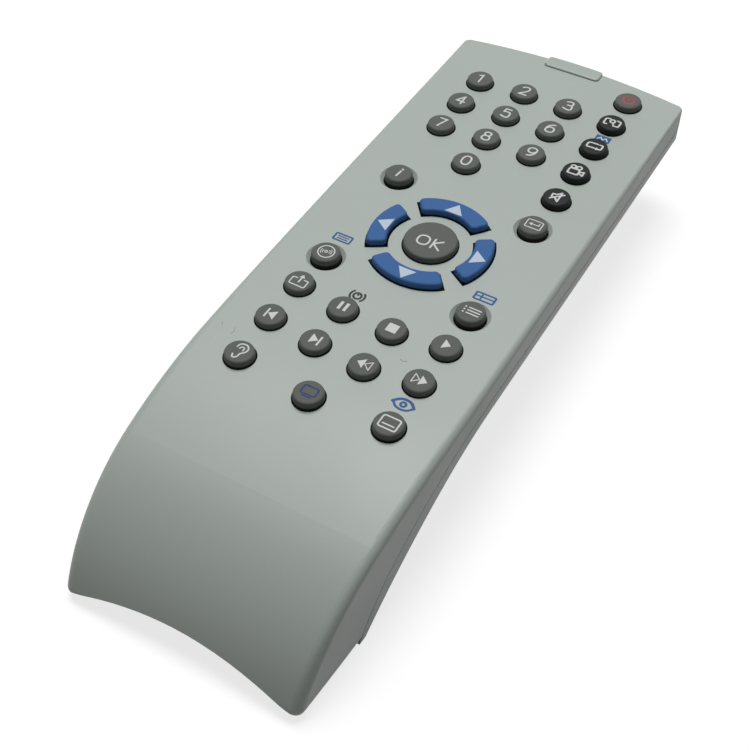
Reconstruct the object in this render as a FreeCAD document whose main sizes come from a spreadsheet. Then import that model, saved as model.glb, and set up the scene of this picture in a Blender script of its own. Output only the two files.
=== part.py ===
"""Hand-held remote control for a disc player: a bowed two-part casing, separate rubber keys over a
silicone mat and a circuit board, and two round cells behind a sliding cover.

Millimetres. X runs across the casing, Y towards the infrared end, Z up from the table.
The origin lies under the middle of the outer box, on the table.
"""
import FreeCAD, Part
import math
import os

from FreeCAD import Placement, Rotation, Vector

doc = FreeCAD.newDocument("remote_control")
sheet = doc.addObject("Spreadsheet::Sheet", "Sizes")

# Driving dimensions: alias, value
SIZES = [
    # Casing, seen from above and from the side
    ("body_length", 164.2),
    ("body_width", 55.9),
    ("top_height", 25.5),
    ("end_bow_radius", 150.0),
    ("corner_radius", 1.6),
    ("inner_corner_radius", 0.5),
    ("waist_start", 61.1),
    ("waist_radius", 760.0),
    ("bow_gentle_radius", 110.0),
    ("bow_gentle_angle", 14.0),
    ("bow_steep_radius", 38.0),
    ("toe_radius", 2.2),
    ("far_edge_radius", 0.45),
    ("near_edge_radius", 2.1),
    ("top_wall", 1.8),
    ("side_wall", 2.0),
    ("lip_draft", 0.6),
    # Parting line between the two casings
    ("parting_drop", 5.2),
    ("parting_gap", 0.35),
    ("parting_bow_start", 61.1),
    ("parting_gentle_radius", 62.0),
    ("parting_gentle_angle", 31.0),
    ("parting_steep_radius", 32.0),
    # Lower casing
    ("lower_inset", 0.05),
    ("lower_wall", 1.8),
    ("tray_height", 13.6),
    ("tray_edge_radius", 4.4),
    ("tray_end_radius", 4.5),
    ("arch_start", 66.1),
    ("arch_radius", 76.0),
    ("tray_bend_angle", 50.0),
    ("lip_arch_height", 5.8),
    ("lip_arch_radius", 72.0),
    ("lip_arch_slope", 6.0),
    ("lip_arch_depth", 15.0),
    ("nose_height", 7.0),
    ("nose_reach", 10.0),
    ("heel_wall", 3.0),
    # Battery bay and its cover
    ("cell_diameter", 14.5),
    ("cell_length", 49.2),
    ("cell_nub_diameter", 5.5),
    ("cell_nub_height", 1.3),
    ("cell_edge_radius", 0.6),
    ("cell_gap", 0.7),
    ("cell_lift", 2.4),
    ("cell_clearance", 0.5),
    ("bay_start", 7.5),
    ("bay_spring_room", 7.0),
    ("bay_contact_room", 1.5),
    ("bay_wall", 1.5),
    ("bay_roof", 1.2),
    ("belly_side", 4.4),
    ("belly_slope_run", 6.0),
    ("belly_end_margin", 4.5),
    ("belly_edge_radius", 2.6),
    ("cover_thickness", 1.6),
    ("cover_recess", 0.3),
    ("cover_overlap", 0.8),
    ("cover_clearance", 0.15),
    ("cover_ledge", 2.0),
    ("cover_rail_width", 0.8),
    ("cover_rail_height", 0.8),
    ("cover_rail_lift", 0.65),
    ("latch_width", 7.0),
    ("latch_reach", 1.6),
    ("latch_thickness", 0.8),
    ("latch_root_length", 4.0),
    ("grip_rib_pitch", 1.6),
    ("grip_rib_width", 0.8),
    ("grip_rib_depth", 0.5),
    ("grip_rib_count", 6.0),
    ("grip_half_width", 9.0),
    ("grip_start", 3.5),
    # Keys
    ("key_pitch", 11.05),
    ("field_shift", -0.08),
    ("ok_key_y", 10.05),
    ("key_height", 1.55),
    ("key_base_radius", 3.06),
    ("key_top_radius", 2.98),
    ("key_edge_radius", 0.55),
    ("key_gap", 0.28),
    ("key_flange", 0.5),
    ("key_flange_thickness", 0.7),
    ("key_flange_drop", 0.7),
    ("key_stem_radius", 1.5),
    ("key_travel", 0.9),
    ("key_stop_gap", 0.05),
    ("dish_radius", 4.1),
    ("dish_depth", 0.75),
    ("ok_radius", 5.68),
    ("ring_inner", 9.08),
    ("ring_outer", 13.13),
    ("long_arrow_angle", 79.0),
    ("short_arrow_angle", 63.0),
    ("arrow_gap", 0.38),
    ("arrow_flange", 0.8),
    ("arrow_corner_radius", 1.0),
    # Mat and circuit board
    ("mat_thickness", 0.6),
    ("mat_play", 0.15),
    ("mat_dome_height", 0.3),
    ("mat_dome_radius", 2.7),
    ("mat_stem_clearance", 0.4),
    ("board_side_gap", 0.4),
    ("mat_near_y", -42.0),
    ("mat_end_gap", 5.55),
    ("mat_corner_radius", 3.0),
    ("board_thickness", 1.6),
    ("board_notch_half_width", 6.8),
    ("board_notch_depth", 6.5),
    ("mat_notch_depth", 8.6),
    ("rim_width", 1.0),
    ("rim_height", 1.4),
    ("rim_root", 2.0),
    ("rim_gap", 0.15),
    ("rim_seat", 0.2),
    ("peg_inset", 1.8),
    ("peg_far_y", 49.8),
    ("peg_middle_y", 17.0),
    ("peg_near_y", -19.0),
    ("peg_radius", 1.1),
    ("post_radius", 1.6),
    ("post_wall", 1.4),
    ("seat_gap", 0.05),
    # Screws
    ("screw_side_inset", 11.45),
    ("screw_start", 35.6),
    ("screw_shank_radius", 1.25),
    ("screw_head_radius", 2.3),
    ("screw_head_height", 1.5),
    ("screw_length", 9.0),
    ("boss_radius", 2.7),
    ("boss_end_height", 11.2),
    ("screw_clearance", 0.05),
    ("screw_floor", 1.6),
    ("screw_end_room", 0.7),
    ("counterbore_gap", 0.3),
    ("screw_way_gap", 0.15),
    ("screw_slot_length", 2.8),
    ("screw_slot_width", 0.6),
    ("screw_slot_depth", 0.8),
    # Infrared window and emitter
    ("window_half_width", 6.9),
    ("window_proud", 0.35),
    ("window_rise", 0.45),
    ("window_seat", 0.8),
    ("window_pad_depth", 3.9),
    ("window_height", 4.0),
    ("window_corner_radius", 1.0),
    ("window_end_radius", 0.9),
    ("window_edge_radius", 0.4),
    ("window_gap", 0.08),
    ("emitter_radius", 1.5),
    ("emitter_rim_radius", 1.9),
    ("emitter_rim_thickness", 1.0),
    ("emitter_tip_radius", 1.35),
    ("emitter_length", 5.0),
    ("emitter_spacing", 6.2),
    ("emitter_gap", 1.6),
    ("emitter_lift", 1.25),
    ("lead_seat", 1.6),
    ("lead_thickness", 0.5),
    ("lead_spacing", 1.8),
    # Parts on the board
    ("chip_length", 18.0),
    ("chip_width", 7.6),
    ("chip_height", 2.3),
    ("chip_y", -18.0),
    ("chip_pin_pitch", 1.27),
    ("chip_pin_reach", 1.4),
    ("chip_pin_width", 0.4),
    ("chip_pin_thickness", 0.25),
    ("chip_standoff", 0.15),
    ("capacitor_radius", 1.5),
    ("capacitor_length", 4.0),
    ("capacitor_x", 18.5),
    ("capacitor_y", -8.0),
    ("resonator_length", 7.0),
    ("resonator_width", 3.0),
    ("resonator_height", 3.0),
    ("resonator_x", -16.5),
    ("parts_row_y", -30.5),
    ("transistor_side", 3.0),
    ("transistor_height", 1.3),
    ("transistor_x", 15.5),
    ("resistor_length", 3.2),
    ("resistor_width", 1.6),
    ("resistor_height", 0.6),
    ("resistor_count", 4.0),
    ("resistor_pitch", 6.0),
    ("resistor_y", -35.2),
    # Battery contacts
    ("contact_thickness", 0.5),
    ("contact_width", 10.0),
    ("contact_height", 10.5),
    ("contact_bump_radius", 3.0),
    ("spring_wire", 0.7),
    ("spring_radius", 3.8),
    ("spring_turns", 4.0),
    ("contact_tail_width", 2.4),
    ("tail_gap", 0.3),
]
for row, (alias, value) in enumerate(SIZES, start=1):
    sheet.set("A%d" % row, alias)
    sheet.set("B%d" % row, str(value))
    sheet.setAlias("B%d" % row, alias)
doc.recompute()


def size(alias):
    """A driving dimension, read back from the sheet."""
    return float(getattr(sheet, alias))


# Places that follow from the driving dimensions
half_length = size("body_length") / 2
half_width = size("body_width") / 2
waist_y = size("waist_start") - half_length
parting_bow_y = size("parting_bow_start") - half_length
arch_y = size("arch_start") - half_length
top_z = size("top_height")
end_y = half_length - size("window_proud")
ceiling_z = top_z - size("top_wall")
parting_z = top_z - size("parting_drop")
flange_top = ceiling_z - size("key_flange_drop")
flange_bottom = flange_top - size("key_flange_thickness")
board_top = (flange_bottom - size("key_travel") - size("mat_play") - size("mat_dome_height")
             - size("mat_thickness"))
board_bottom = board_top - size("board_thickness")
key_top = top_z + size("key_height")
stem_bottom = board_top + size("key_travel") + size("key_stop_gap")
hole_radius = size("key_base_radius") + size("key_gap")
flange_radius = hole_radius + size("key_flange")
tray_floor = size("tray_height") + size("lower_wall")
cell_radius = size("cell_diameter") / 2
cell_x = cell_radius + size("cell_gap") / 2
cell_z = size("cell_lift") + cell_radius
bay_half_width = cell_x + cell_radius + size("cell_clearance")
bay_length = (size("cell_length") + size("cell_nub_height") + size("bay_spring_room")
              + size("bay_contact_room"))
bay_end = size("bay_start") + bay_length
bay_top = cell_z + cell_radius + size("cell_clearance")
belly_half_width = bay_half_width + size("belly_side")
belly_start = size("bay_start") - size("belly_end_margin")
belly_end = bay_end + size("belly_end_margin")
cover_top = size("cover_recess") + size("cover_thickness")
cover_half_width = bay_half_width + size("cover_overlap")
cover_end = bay_end - size("cover_ledge")
opening_top = cover_top + size("cover_clearance")
rim_outer = size("side_wall") + size("rim_gap")
board_half_width = half_width - rim_outer - size("rim_width") - size("board_side_gap")
peg_x = board_half_width - size("peg_inset")
screw_x = half_width - size("screw_side_inset")
screw_y = size("screw_start") - half_length
mat_far_y = end_y - size("mat_end_gap")

# How far cutting tools reach past the material, how far fused pieces reach into each other, and
# how near two places count as one
past = 5.0
bury = 0.1
touching = 1e-3
wide = size("body_width") + 4 * past

YZ_PLANE = Rotation(Vector(1, 1, 1), 120)
XZ_PLANE = Rotation(Vector(1, 0, 0), 90)
parts = []


def outline_points(*steps):
    """Edges of a closed outline from steps: ("to", point) draws a line, ("by", middle, point) an arc."""
    edges = []
    here = steps[0][-1]
    for step in steps[1:] + (("to", steps[0][-1]),):
        there = step[-1]
        if (there - here).Length < 1e-7:
            continue
        if step[0] == "by":
            edges.append(Part.Arc(here, step[1], there))
        else:
            edges.append(Part.LineSegment(here, there))
        here = there
    return edges


def sketch(name, edges, rotation=Rotation(), base=Vector(0, 0, 0)):
    """A sketch that stands by itself, in the plane given by its placement."""
    item = doc.addObject("Sketcher::SketchObject", name)
    item.Placement = Placement(base, rotation)
    item.addGeometry(edges, False)
    return item


def extrude(name, profile, length, reverse=0.0, symmetric=False):
    """A prism on a sketch, along the sketch's normal."""
    item = doc.addObject("Part::Extrusion", name)
    item.Base = profile
    item.DirMode = "Normal"
    item.LengthFwd = length
    item.LengthRev = reverse
    item.Symmetric = symmetric
    item.Solid = True
    return item


def combine(kind, name, items):
    """Part::MultiFuse or Part::MultiCommon of several objects, or a Part::Compound of loose ones."""
    item = doc.addObject(kind, name)
    if kind == "Part::Compound":
        item.Links = items
    else:
        item.Shapes = items
    return item


def fuse(name, items):
    return combine("Part::MultiFuse", name, items)


def common(name, items):
    return combine("Part::MultiCommon", name, items)


def cut(name, base, tool):
    """base less tool."""
    item = doc.addObject("Part::Cut", name)
    item.Base = base
    item.Tool = tool
    return item


def box(name, low, high):
    """A box from its lowest to its highest corner."""
    item = doc.addObject("Part::Box", name)
    item.Length, item.Width, item.Height = [high[i] - low[i] for i in range(3)]
    item.Placement = Placement(Vector(*low), Rotation())
    return item


def rod(name, radius_alias, base, length, direction=Vector(0, 0, 1)):
    """A cylinder whose radius is bound to the sheet."""
    item = doc.addObject("Part::Cylinder", name)
    item.setExpression("Radius", "Sizes." + radius_alias)
    item.Height = length
    item.Placement = Placement(base, Rotation(Vector(0, 0, 1), direction))
    return item


def plain_rod(name, radius, base, length, direction=Vector(0, 0, 1)):
    """A cylinder whose radius is worked out from several sizes."""
    item = doc.addObject("Part::Cylinder", name)
    item.Radius = radius
    item.Height = length
    item.Placement = Placement(base, Rotation(Vector(0, 0, 1), direction))
    return item


def round_edges(name, base, radius, wanted):
    """A fillet on the edges of base for which wanted(edge) is true. radius is a number, or a function
    of a point on the edge."""
    doc.recompute()

    def radius_at(edge, parameter):
        return radius(edge.valueAt(parameter)) if callable(radius) else radius

    chosen = [(i, radius_at(edge, edge.FirstParameter), radius_at(edge, edge.LastParameter))
              for i, edge in enumerate(base.Shape.Edges, start=1) if wanted(edge)]
    if not chosen:
        raise RuntimeError("no edge to round on " + name)
    item = doc.addObject("Part::Fillet", name)
    item.Base = base
    item.Edges = chosen
    doc.recompute()
    return item


def keep(item, label):
    """Marks an object as a finished sub-part, named by its label."""
    item.Label = label
    parts.append(item)
    return item


# Outlines of the casing

def top_bow():
    """Where the gentle bow starts and the circle centre of the steep one, so that the toe ends the
    casing's length. The toe circle touches the steep bow from inside."""
    toe = size("toe_radius")
    gentle = size("bow_gentle_radius")
    steep = size("bow_steep_radius")
    turn = math.radians(size("bow_gentle_angle"))
    toe_centre = Vector(-half_length + toe, toe, 0)
    steep_z = top_z - gentle + (gentle - steep) * math.cos(turn)
    fall = toe_centre.y - steep_z
    steep_centre = Vector(toe_centre.x + math.sqrt((steep - toe) ** 2 - fall ** 2), steep_z, 0)
    bow_start = steep_centre.x + (gentle - steep) * math.sin(turn)
    return bow_start, steep_centre, toe_centre


bow_start, steep_centre, toe_centre = top_bow()


def on_circle(centre, radius, angle):
    """The point of a circle at an angle that is zero at the top and grows towards -Y."""
    turn = math.radians(angle)
    return centre + Vector(-radius * math.sin(turn), radius * math.cos(turn), 0)


def plan_edges(inset, corner, end_shift=0.0):
    """The casing seen from above, moved inwards: a bowed infrared end, straight sides, and a waist
    that draws in along a large arc towards the near end. corner rounds the two far corners."""
    bow = size("end_bow_radius") - inset + end_shift
    bow_centre = Vector(0, end_y - size("end_bow_radius"), 0)
    side = half_width - inset
    waist = size("waist_radius") - inset
    near_y = -half_length - past
    corner_centre = Vector(side - corner, bow_centre.y + math.sqrt((bow - corner) ** 2
                                                                   - (side - corner) ** 2), 0)
    away = corner_centre - bow_centre
    bow_end = bow_centre + away * (bow / (bow - corner))
    turn = math.atan2(away.y, away.x) / 2
    corner_middle = corner_centre + Vector(math.cos(turn), math.sin(turn), 0) * corner

    def waist_x(y):
        return side - waist + math.sqrt(waist ** 2 - (waist_y - y) ** 2)

    def mirrored(point):
        return Vector(-point.x, point.y, 0)

    middle_y = (waist_y + near_y) / 2
    waist_middle = Vector(waist_x(middle_y), middle_y, 0)
    waist_end = Vector(waist_x(near_y), near_y, 0)
    corner_start = Vector(side, corner_centre.y, 0)
    return outline_points(
        ("to", Vector(side, waist_y, 0)),
        ("to", corner_start),
        ("by", corner_middle, bow_end),
        ("by", bow_centre + Vector(0, bow, 0), mirrored(bow_end)),
        ("by", mirrored(corner_middle), mirrored(corner_start)),
        ("to", Vector(-side, waist_y, 0)),
        ("by", mirrored(waist_middle), mirrored(waist_end)),
        ("to", waist_end),
        ("by", waist_middle, Vector(side, waist_y, 0)),
    )


def parting_steps(shift):
    """The parting line from the infrared end down to the table, moved down by shift."""
    level = Vector(parting_bow_y, parting_z, 0)
    gentle = size("parting_gentle_radius")
    steep = size("parting_steep_radius")
    first = size("parting_gentle_angle")
    turn = math.radians(first)
    gentle_centre = level - Vector(0, gentle, 0)
    steep_middle = gentle_centre + Vector(-math.sin(turn), math.cos(turn), 0) * (gentle - steep)
    last = math.degrees(math.acos(-steep_middle.y / (steep - shift)))
    return [
        ("to", Vector(level.x, level.y - shift, 0)),
        ("by", on_circle(gentle_centre, gentle - shift, first / 2),
         on_circle(gentle_centre, gentle - shift, first)),
        ("by", on_circle(steep_middle, steep - shift, (first + last) / 2),
         on_circle(steep_middle, steep - shift, last)),
    ]


def reversed_steps(steps, start):
    """The same steps walked backwards, from their last point to start."""
    points = [start] + [step[-1] for step in steps]
    turned = []
    for i in range(len(steps) - 1, -1, -1):
        if steps[i][0] == "by":
            turned.append(("by", steps[i][1], points[i]))
        else:
            turned.append(("to", points[i]))
    return turned


def top_steps(inset, first_y):
    """The casing's top line from the infrared end to the end of the steep bow, moved inwards."""
    level_z = top_z - inset
    gentle_centre = Vector(bow_start, top_z - size("bow_gentle_radius"), 0)
    gentle = size("bow_gentle_radius") - inset
    steep = size("bow_steep_radius") - inset
    first = size("bow_gentle_angle")
    away = steep_centre - toe_centre
    last = math.degrees(math.atan2(away.x, -away.y))
    return [
        ("to", Vector(first_y, level_z, 0)),
        ("to", Vector(bow_start, level_z, 0)),
        ("by", on_circle(gentle_centre, gentle, first / 2), on_circle(gentle_centre, gentle, first)),
        ("by", on_circle(steep_centre, steep, (first + last) / 2), on_circle(steep_centre, steep, last)),
    ], last


far_y = half_length + past


def top_line_z(y):
    """Height of the casing's top line at y, as far as the steep bow."""
    gentle = size("bow_gentle_radius")
    if y > bow_start:
        return top_z
    gentle_end = bow_start - gentle * math.sin(math.radians(size("bow_gentle_angle")))
    if y > gentle_end:
        return top_z - gentle + math.sqrt(gentle ** 2 - (y - bow_start) ** 2)
    return steep_centre.y + math.sqrt(size("bow_steep_radius") ** 2 - (y - steep_centre.x) ** 2)


def upper_side_edges():
    """The upper casing from the side: top line, toe, foot on the table, and the parting line."""
    steps, last = top_steps(0.0, far_y)
    toe = size("toe_radius")
    steps += [
        ("by", on_circle(toe_centre, toe, (last + 180) / 2), on_circle(toe_centre, toe, 180)),
    ]
    parting = parting_steps(0.0)
    foot = parting[-1][-1]
    steps += [("to", foot)]
    steps += reversed_steps(parting[1:], parting[0][-1])
    steps += [("to", Vector(far_y, parting_z, 0))]
    return outline_points(*steps)


def upper_room_edges():
    """The room inside the upper casing from the side, open towards the table."""
    steps, _ = top_steps(size("top_wall"), far_y)
    lip = steps[-1][-1]
    steps += [("to", Vector(lip.x - size("lip_draft"), -past, 0)), ("to", Vector(far_y, -past, 0))]
    return outline_points(*steps)


# Upper casing

plan_outer = extrude("plan_outer", sketch("plan_outer_sketch", plan_edges(0.0, size("corner_radius"))),
                     top_z + past)
upper_side = extrude("upper_side", sketch("upper_side_sketch", upper_side_edges(), YZ_PLANE),
                     wide, symmetric=True)
upper_block = common("upper_block", [plan_outer, upper_side])


def is_top_rim(edge):
    """An edge where the top meets a side or the infrared end, down to the toe: its middle lies on the
    top line, and it doesn't run straight across."""
    parameter = (edge.FirstParameter + edge.LastParameter) / 2
    middle = edge.valueAt(parameter)
    if middle.y > waist_y:
        return edge.BoundBox.ZMin > top_z - touching
    on_top_line = middle.z > toe_centre.y and abs(middle.z - top_line_z(middle.y)) < touching
    return on_top_line and abs(edge.tangentAt(parameter).x) < 0.5


def top_rim_radius(point):
    """The top edge is crisp at the infrared end and grows evenly softer towards the near end."""
    share = (end_y - point.y) / (end_y + half_length)
    return size("far_edge_radius") + share * (size("near_edge_radius") - size("far_edge_radius"))


upper_rounded = round_edges("upper_rounded", upper_block, top_rim_radius, is_top_rim)

upper_room = common("upper_room", [
    extrude("plan_room", sketch("plan_room_sketch",
                                plan_edges(size("side_wall"), size("inner_corner_radius")),
                                base=Vector(0, 0, -past)), top_z + 2 * past),
    extrude("room_side", sketch("room_side_sketch", upper_room_edges(), YZ_PLANE),
            wide, symmetric=True),
])
upper_shell = cut("upper_shell", upper_rounded, upper_room)

# Key places: node name, column and row in key pitches from the OK key, and whether a dish surrounds it

ROUND_KEYS = [
    ("key_1", -1.5, 4.91, False),
    ("key_2", -0.5, 4.97, False),
    ("key_3", 0.5, 4.96, False),
    ("key_power", 1.5, 5.74, False),
    ("key_4", -1.5, 4.05, False),
    ("key_5", -0.5, 4.11, False),
    ("key_6", 0.5, 4.1, False),
    ("key_7", -1.5, 3.18, False),
    ("key_8", -0.5, 3.24, False),
    ("key_9", 0.5, 3.23, False),
    ("key_0", -0.5, 2.36, False),
    ("key_zoom", 1.5, 4.89, False),
    ("key_repeat", 1.5, 4.02, False),
    ("key_angle", 1.5, 3.15, False),
    ("key_mute", 1.5, 2.26, False),
    ("key_info", -1.46, 1.38, True),
    ("key_enter", 1.46, 1.32, True),
    ("key_disc", -1.51, -1.23, True),
    ("key_list", 1.49, -1.26, True),
    ("key_folder", -1.52, -2.11, False),
    ("key_pause", -0.51, -2.27, False),
    ("key_stop", 0.5, -2.3, False),
    ("key_play", 1.5, -2.18, False),
    ("key_previous", -1.51, -3.06, False),
    ("key_next", -0.51, -3.19, False),
    ("key_rewind", 0.5, -3.25, False),
    ("key_forward", 1.49, -3.1, False),
    ("key_sound", -1.48, -4.06, False),
    ("key_screen", 0.03, -4.24, False),
    ("key_subtitle", 1.51, -4.15, False),
]
# Arrow keys: node name, heading in degrees from +X, and the alias of its angular width
ARROW_KEYS = [
    ("key_right", 0.0, "short_arrow_angle"),
    ("key_up", 90.0, "long_arrow_angle"),
    ("key_left", 180.0, "short_arrow_angle"),
    ("key_down", 270.0, "long_arrow_angle"),
]


def key_place(column, row):
    """A key's centre on the table plane."""
    pitch = size("key_pitch")
    return Vector(size("field_shift") + column * pitch, size("ok_key_y") + row * pitch, 0)


def place_key(item, column, row):
    """Binds an object's place to the key pitch."""
    item.setExpression("Placement.Base.x", "Sizes.field_shift + %r * Sizes.key_pitch" % column)
    item.setExpression("Placement.Base.y", "Sizes.ok_key_y + %r * Sizes.key_pitch" % row)


def sector_edges(inner, outer, angle, grow=0.0):
    """A ring sector about the origin that faces +X, grown on every side. Its ends stay parallel to
    the ends of the sector that isn't grown."""
    half = math.radians(angle / 2)

    def corner(radius, side):
        along = math.sqrt(radius ** 2 - grow ** 2)
        end = Vector(math.cos(half), side * math.sin(half), 0)
        away = Vector(-math.sin(half), side * math.cos(half), 0)
        return end * along + away * grow

    low, high = inner - grow, outer + grow
    return outline_points(
        ("to", corner(low, -1)),
        ("to", corner(high, -1)),
        ("by", Vector(high, 0, 0), corner(high, 1)),
        ("to", corner(low, 1)),
        ("by", Vector(low, 0, 0), corner(low, -1)),
    )


ring_centre = key_place(0.0, 0.0)


def sector(name, heading, angle, grow, low_z, high_z):
    """A standing ring sector round the OK key."""
    profile = sketch(name + "_sketch", sector_edges(size("ring_inner"), size("ring_outer"), angle, grow),
                     Rotation(Vector(0, 0, 1), heading), ring_centre + Vector(0, 0, low_z))
    return extrude(name, profile, high_z - low_z)


def window_shape(prefix, grow):
    """The infrared window: a pad on the top joined to a plate in the end wall."""
    half = size("window_half_width") + grow
    pad_y = half_length - size("window_pad_depth") - grow
    plate_y = end_y - size("side_wall") - grow
    pad_z = top_z - size("window_seat") - grow
    high_z = top_z + size("window_rise") + (past if grow else 0.0)
    low_z = top_z - size("window_height") - grow
    pad = box(prefix + "_pad", (-half, pad_y, pad_z), (half, far_y, high_z))
    plate = box(prefix + "_plate", (-half, plate_y, low_z), (half, far_y, pad_z + bury))
    both = fuse(prefix + "_both", [pad, plate])

    def upright(edge):
        b = edge.BoundBox
        return b.ZLength > 0.5 and b.XLength < 1e-6 and b.YLength < 1e-6 and abs(b.YMin - pad_y) < touching

    return round_edges(prefix + "_soft", both, size("window_corner_radius"), upright)


upper_tools = []
for name, column, row, dished in ROUND_KEYS:
    hole = plain_rod("hole_" + name, hole_radius, Vector(0, 0, ceiling_z - past), 2 * past)
    place_key(hole, column, row)
    upper_tools.append(hole)
    if dished:
        dish = doc.addObject("Part::Cone", "dish_" + name)
        dish.Radius1 = hole_radius
        dish.setExpression("Radius2", "Sizes.dish_radius")
        dish.setExpression("Height", "Sizes.dish_depth")
        dish.Placement = Placement(Vector(0, 0, top_z - size("dish_depth")), Rotation())
        place_key(dish, column, row)
        upper_tools.append(dish)
ok_hole = plain_rod("hole_key_ok", size("ok_radius") + size("key_gap"), Vector(0, 0, ceiling_z - past),
                    2 * past)
place_key(ok_hole, 0.0, 0.0)
upper_tools.append(ok_hole)
for name, heading, angle_alias in ARROW_KEYS:
    upper_tools.append(sector("hole_" + name, heading, size(angle_alias), size("arrow_gap"),
                              ceiling_z - past, top_z + past))
upper_tools.append(window_shape("window_cut", size("window_gap")))

# The front lip is arched across the casing. The arch falls away to the rear, so that the side walls
# come down to the table there.
arch_fall = math.radians(size("lip_arch_slope"))
arch_way = Vector(0, math.cos(arch_fall), -math.sin(arch_fall))
arch_reach = arch_way * 2 * size("lip_arch_depth")
arch_start = Vector(0, -half_length, size("lip_arch_height") - size("lip_arch_radius"))
arch_rod = rod("lip_arch_rod", "lip_arch_radius", arch_start - arch_reach, 2 * arch_reach.Length, arch_way)
arch_limit = box("lip_arch_limit", (-half_width - past, -half_length - past, -past),
                 (half_width + past, -half_length + size("lip_arch_depth"),
                  size("lip_arch_height") + past))
upper_tools.append(common("lip_arch", [arch_rod, arch_limit]))
upper_cuts = combine("Part::Compound", "upper_cuts", upper_tools)
upper_opened = cut("upper_opened", upper_shell, upper_cuts)

# Screw bosses and the pegs that press the mat down
peg_rows = [size("peg_far_y"), size("peg_middle_y"), size("peg_near_y")]
mat_top = board_top + size("mat_thickness")
upper_inside = [upper_opened]
for side in (-1, 1):
    boss_top = top_line_z(screw_y) - size("top_wall") / 2
    boss = rod("boss_%d" % side, "boss_radius",
               Vector(side * screw_x, screw_y, size("boss_end_height")),
               boss_top - size("boss_end_height"))
    bore = plain_rod("boss_bore_%d" % side, size("screw_shank_radius") + size("screw_clearance"),
                     Vector(side * screw_x, screw_y, size("boss_end_height") - bury),
                     size("screw_length") - size("screw_floor") + size("screw_end_room"))
    upper_inside.append(cut("boss_tube_%d" % side, boss, bore))
    for number, peg_y in enumerate(peg_rows):
        upper_inside.append(rod("peg_%d_%d" % (side, number), "peg_radius",
                                Vector(side * peg_x, peg_y, mat_top + size("seat_gap")),
                                ceiling_z - mat_top - size("seat_gap") + bury))
keep(fuse("upper_casing", upper_inside), "upper_casing")


# Lower casing

heel_y = parting_steps(0.0)[-1][-1].x


def lower_side_edges():
    """The lower casing from the side: under the parting line, down to the heel on the table, and
    back along the arch under the hand."""
    gap = size("parting_gap")
    parting = parting_steps(gap)
    heel = parting[-1][-1]
    arch = size("arch_radius")
    arch_centre = Vector(arch_y, size("tray_height") - arch, 0)
    foot_angle = math.degrees(math.acos(-arch_centre.y / arch))
    round_up = size("tray_end_radius")
    end = end_y - size("lower_inset")
    tray = size("tray_height")
    corner = Vector(end - round_up, tray + round_up, 0)
    slant = round_up / math.sqrt(2)
    return outline_points(
        ("to", Vector(far_y, parting_z - gap, 0)),
        *parting,
        ("to", heel),
        ("to", on_circle(arch_centre, arch, foot_angle)),
        ("by", on_circle(arch_centre, arch, foot_angle / 2), Vector(arch_y, tray, 0)),
        ("to", Vector(end - round_up, tray, 0)),
        ("by", corner + Vector(slant, -slant, 0), Vector(end, tray + round_up, 0)),
        ("to", Vector(far_y, tray + round_up, 0)),
    )


def lower_room_edges():
    """The room inside the lower casing from the side."""
    wall = size("lower_wall")
    arch = size("arch_radius") + wall
    arch_centre = Vector(arch_y, size("tray_height") - size("arch_radius"), 0)
    foot_angle = math.degrees(math.acos((wall - arch_centre.y) / arch))
    back_y = heel_y + size("heel_wall") - bury
    end_slope = size("tray_end_radius")
    end = end_y - size("lower_inset") - wall
    return outline_points(
        ("to", Vector(back_y, top_z + past, 0)),
        ("to", Vector(back_y, wall, 0)),
        ("to", on_circle(arch_centre, arch, foot_angle)),
        ("by", on_circle(arch_centre, arch, foot_angle / 2), Vector(arch_y, tray_floor, 0)),
        ("to", Vector(end - end_slope, tray_floor, 0)),
        ("to", Vector(end, tray_floor + end_slope, 0)),
        ("to", Vector(end, top_z + past, 0)),
    )


def tray_section_edges():
    """The lower casing seen from the end: upright sides and a rounded underside."""
    side = half_width
    low = size("tray_height")
    high = top_z + past
    soft = size("tray_edge_radius")
    slant = soft * (1 - 1 / math.sqrt(2))
    inner = side - size("lower_inset")
    return outline_points(
        ("to", Vector(inner, high, 0)),
        ("to", Vector(-inner, high, 0)),
        ("to", Vector(-inner, low + soft, 0)),
        ("by", Vector(-inner + slant, low + slant, 0), Vector(-inner + soft, low, 0)),
        ("to", Vector(inner - soft, low, 0)),
        ("by", Vector(inner - slant, low + slant, 0), Vector(inner, low + soft, 0)),
    )


lower_corner = size("corner_radius") - size("lower_inset")
tray_section = sketch("tray_section", tray_section_edges(), XZ_PLANE, Vector(0, arch_y, 0))
tray_straight = extrude("tray_straight", tray_section, 0.0, size("body_length"))
tray_bend = doc.addObject("Part::Revolution", "tray_bend")
tray_bend.Source = tray_section
tray_bend.Axis = Vector(1, 0, 0)
tray_bend.Base = Vector(0, arch_y, size("tray_height") - size("arch_radius"))
tray_bend.Angle = size("tray_bend_angle")
tray_bend.Solid = True
tray_block = common("tray_block", [
    extrude("plan_lower", sketch("plan_lower_sketch", plan_edges(size("lower_inset"), lower_corner)),
            top_z + past),
    extrude("lower_side", sketch("lower_side_sketch", lower_side_edges(), YZ_PLANE),
            wide, symmetric=True),
    fuse("tray_form", [tray_straight, tray_bend]),
])
run = size("belly_slope_run")
belly_top = size("tray_height") + size("lower_wall") / 2
belly_profile = outline_points(
    ("to", Vector(belly_start, 0, 0)),
    ("to", Vector(belly_end, 0, 0)),
    ("to", Vector(belly_end + run / 2, belly_top, 0)),
    ("to", Vector(belly_start - run, belly_top, 0)),
)
belly_block = extrude("belly_block", sketch("belly_sketch", belly_profile, YZ_PLANE),
                      2 * belly_half_width, symmetric=True)


def is_belly_edge(edge):
    """Every edge of the belly that isn't at its top."""
    return edge.BoundBox.ZMin < touching


belly = round_edges("belly", belly_block, size("belly_edge_radius"), is_belly_edge)

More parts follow.
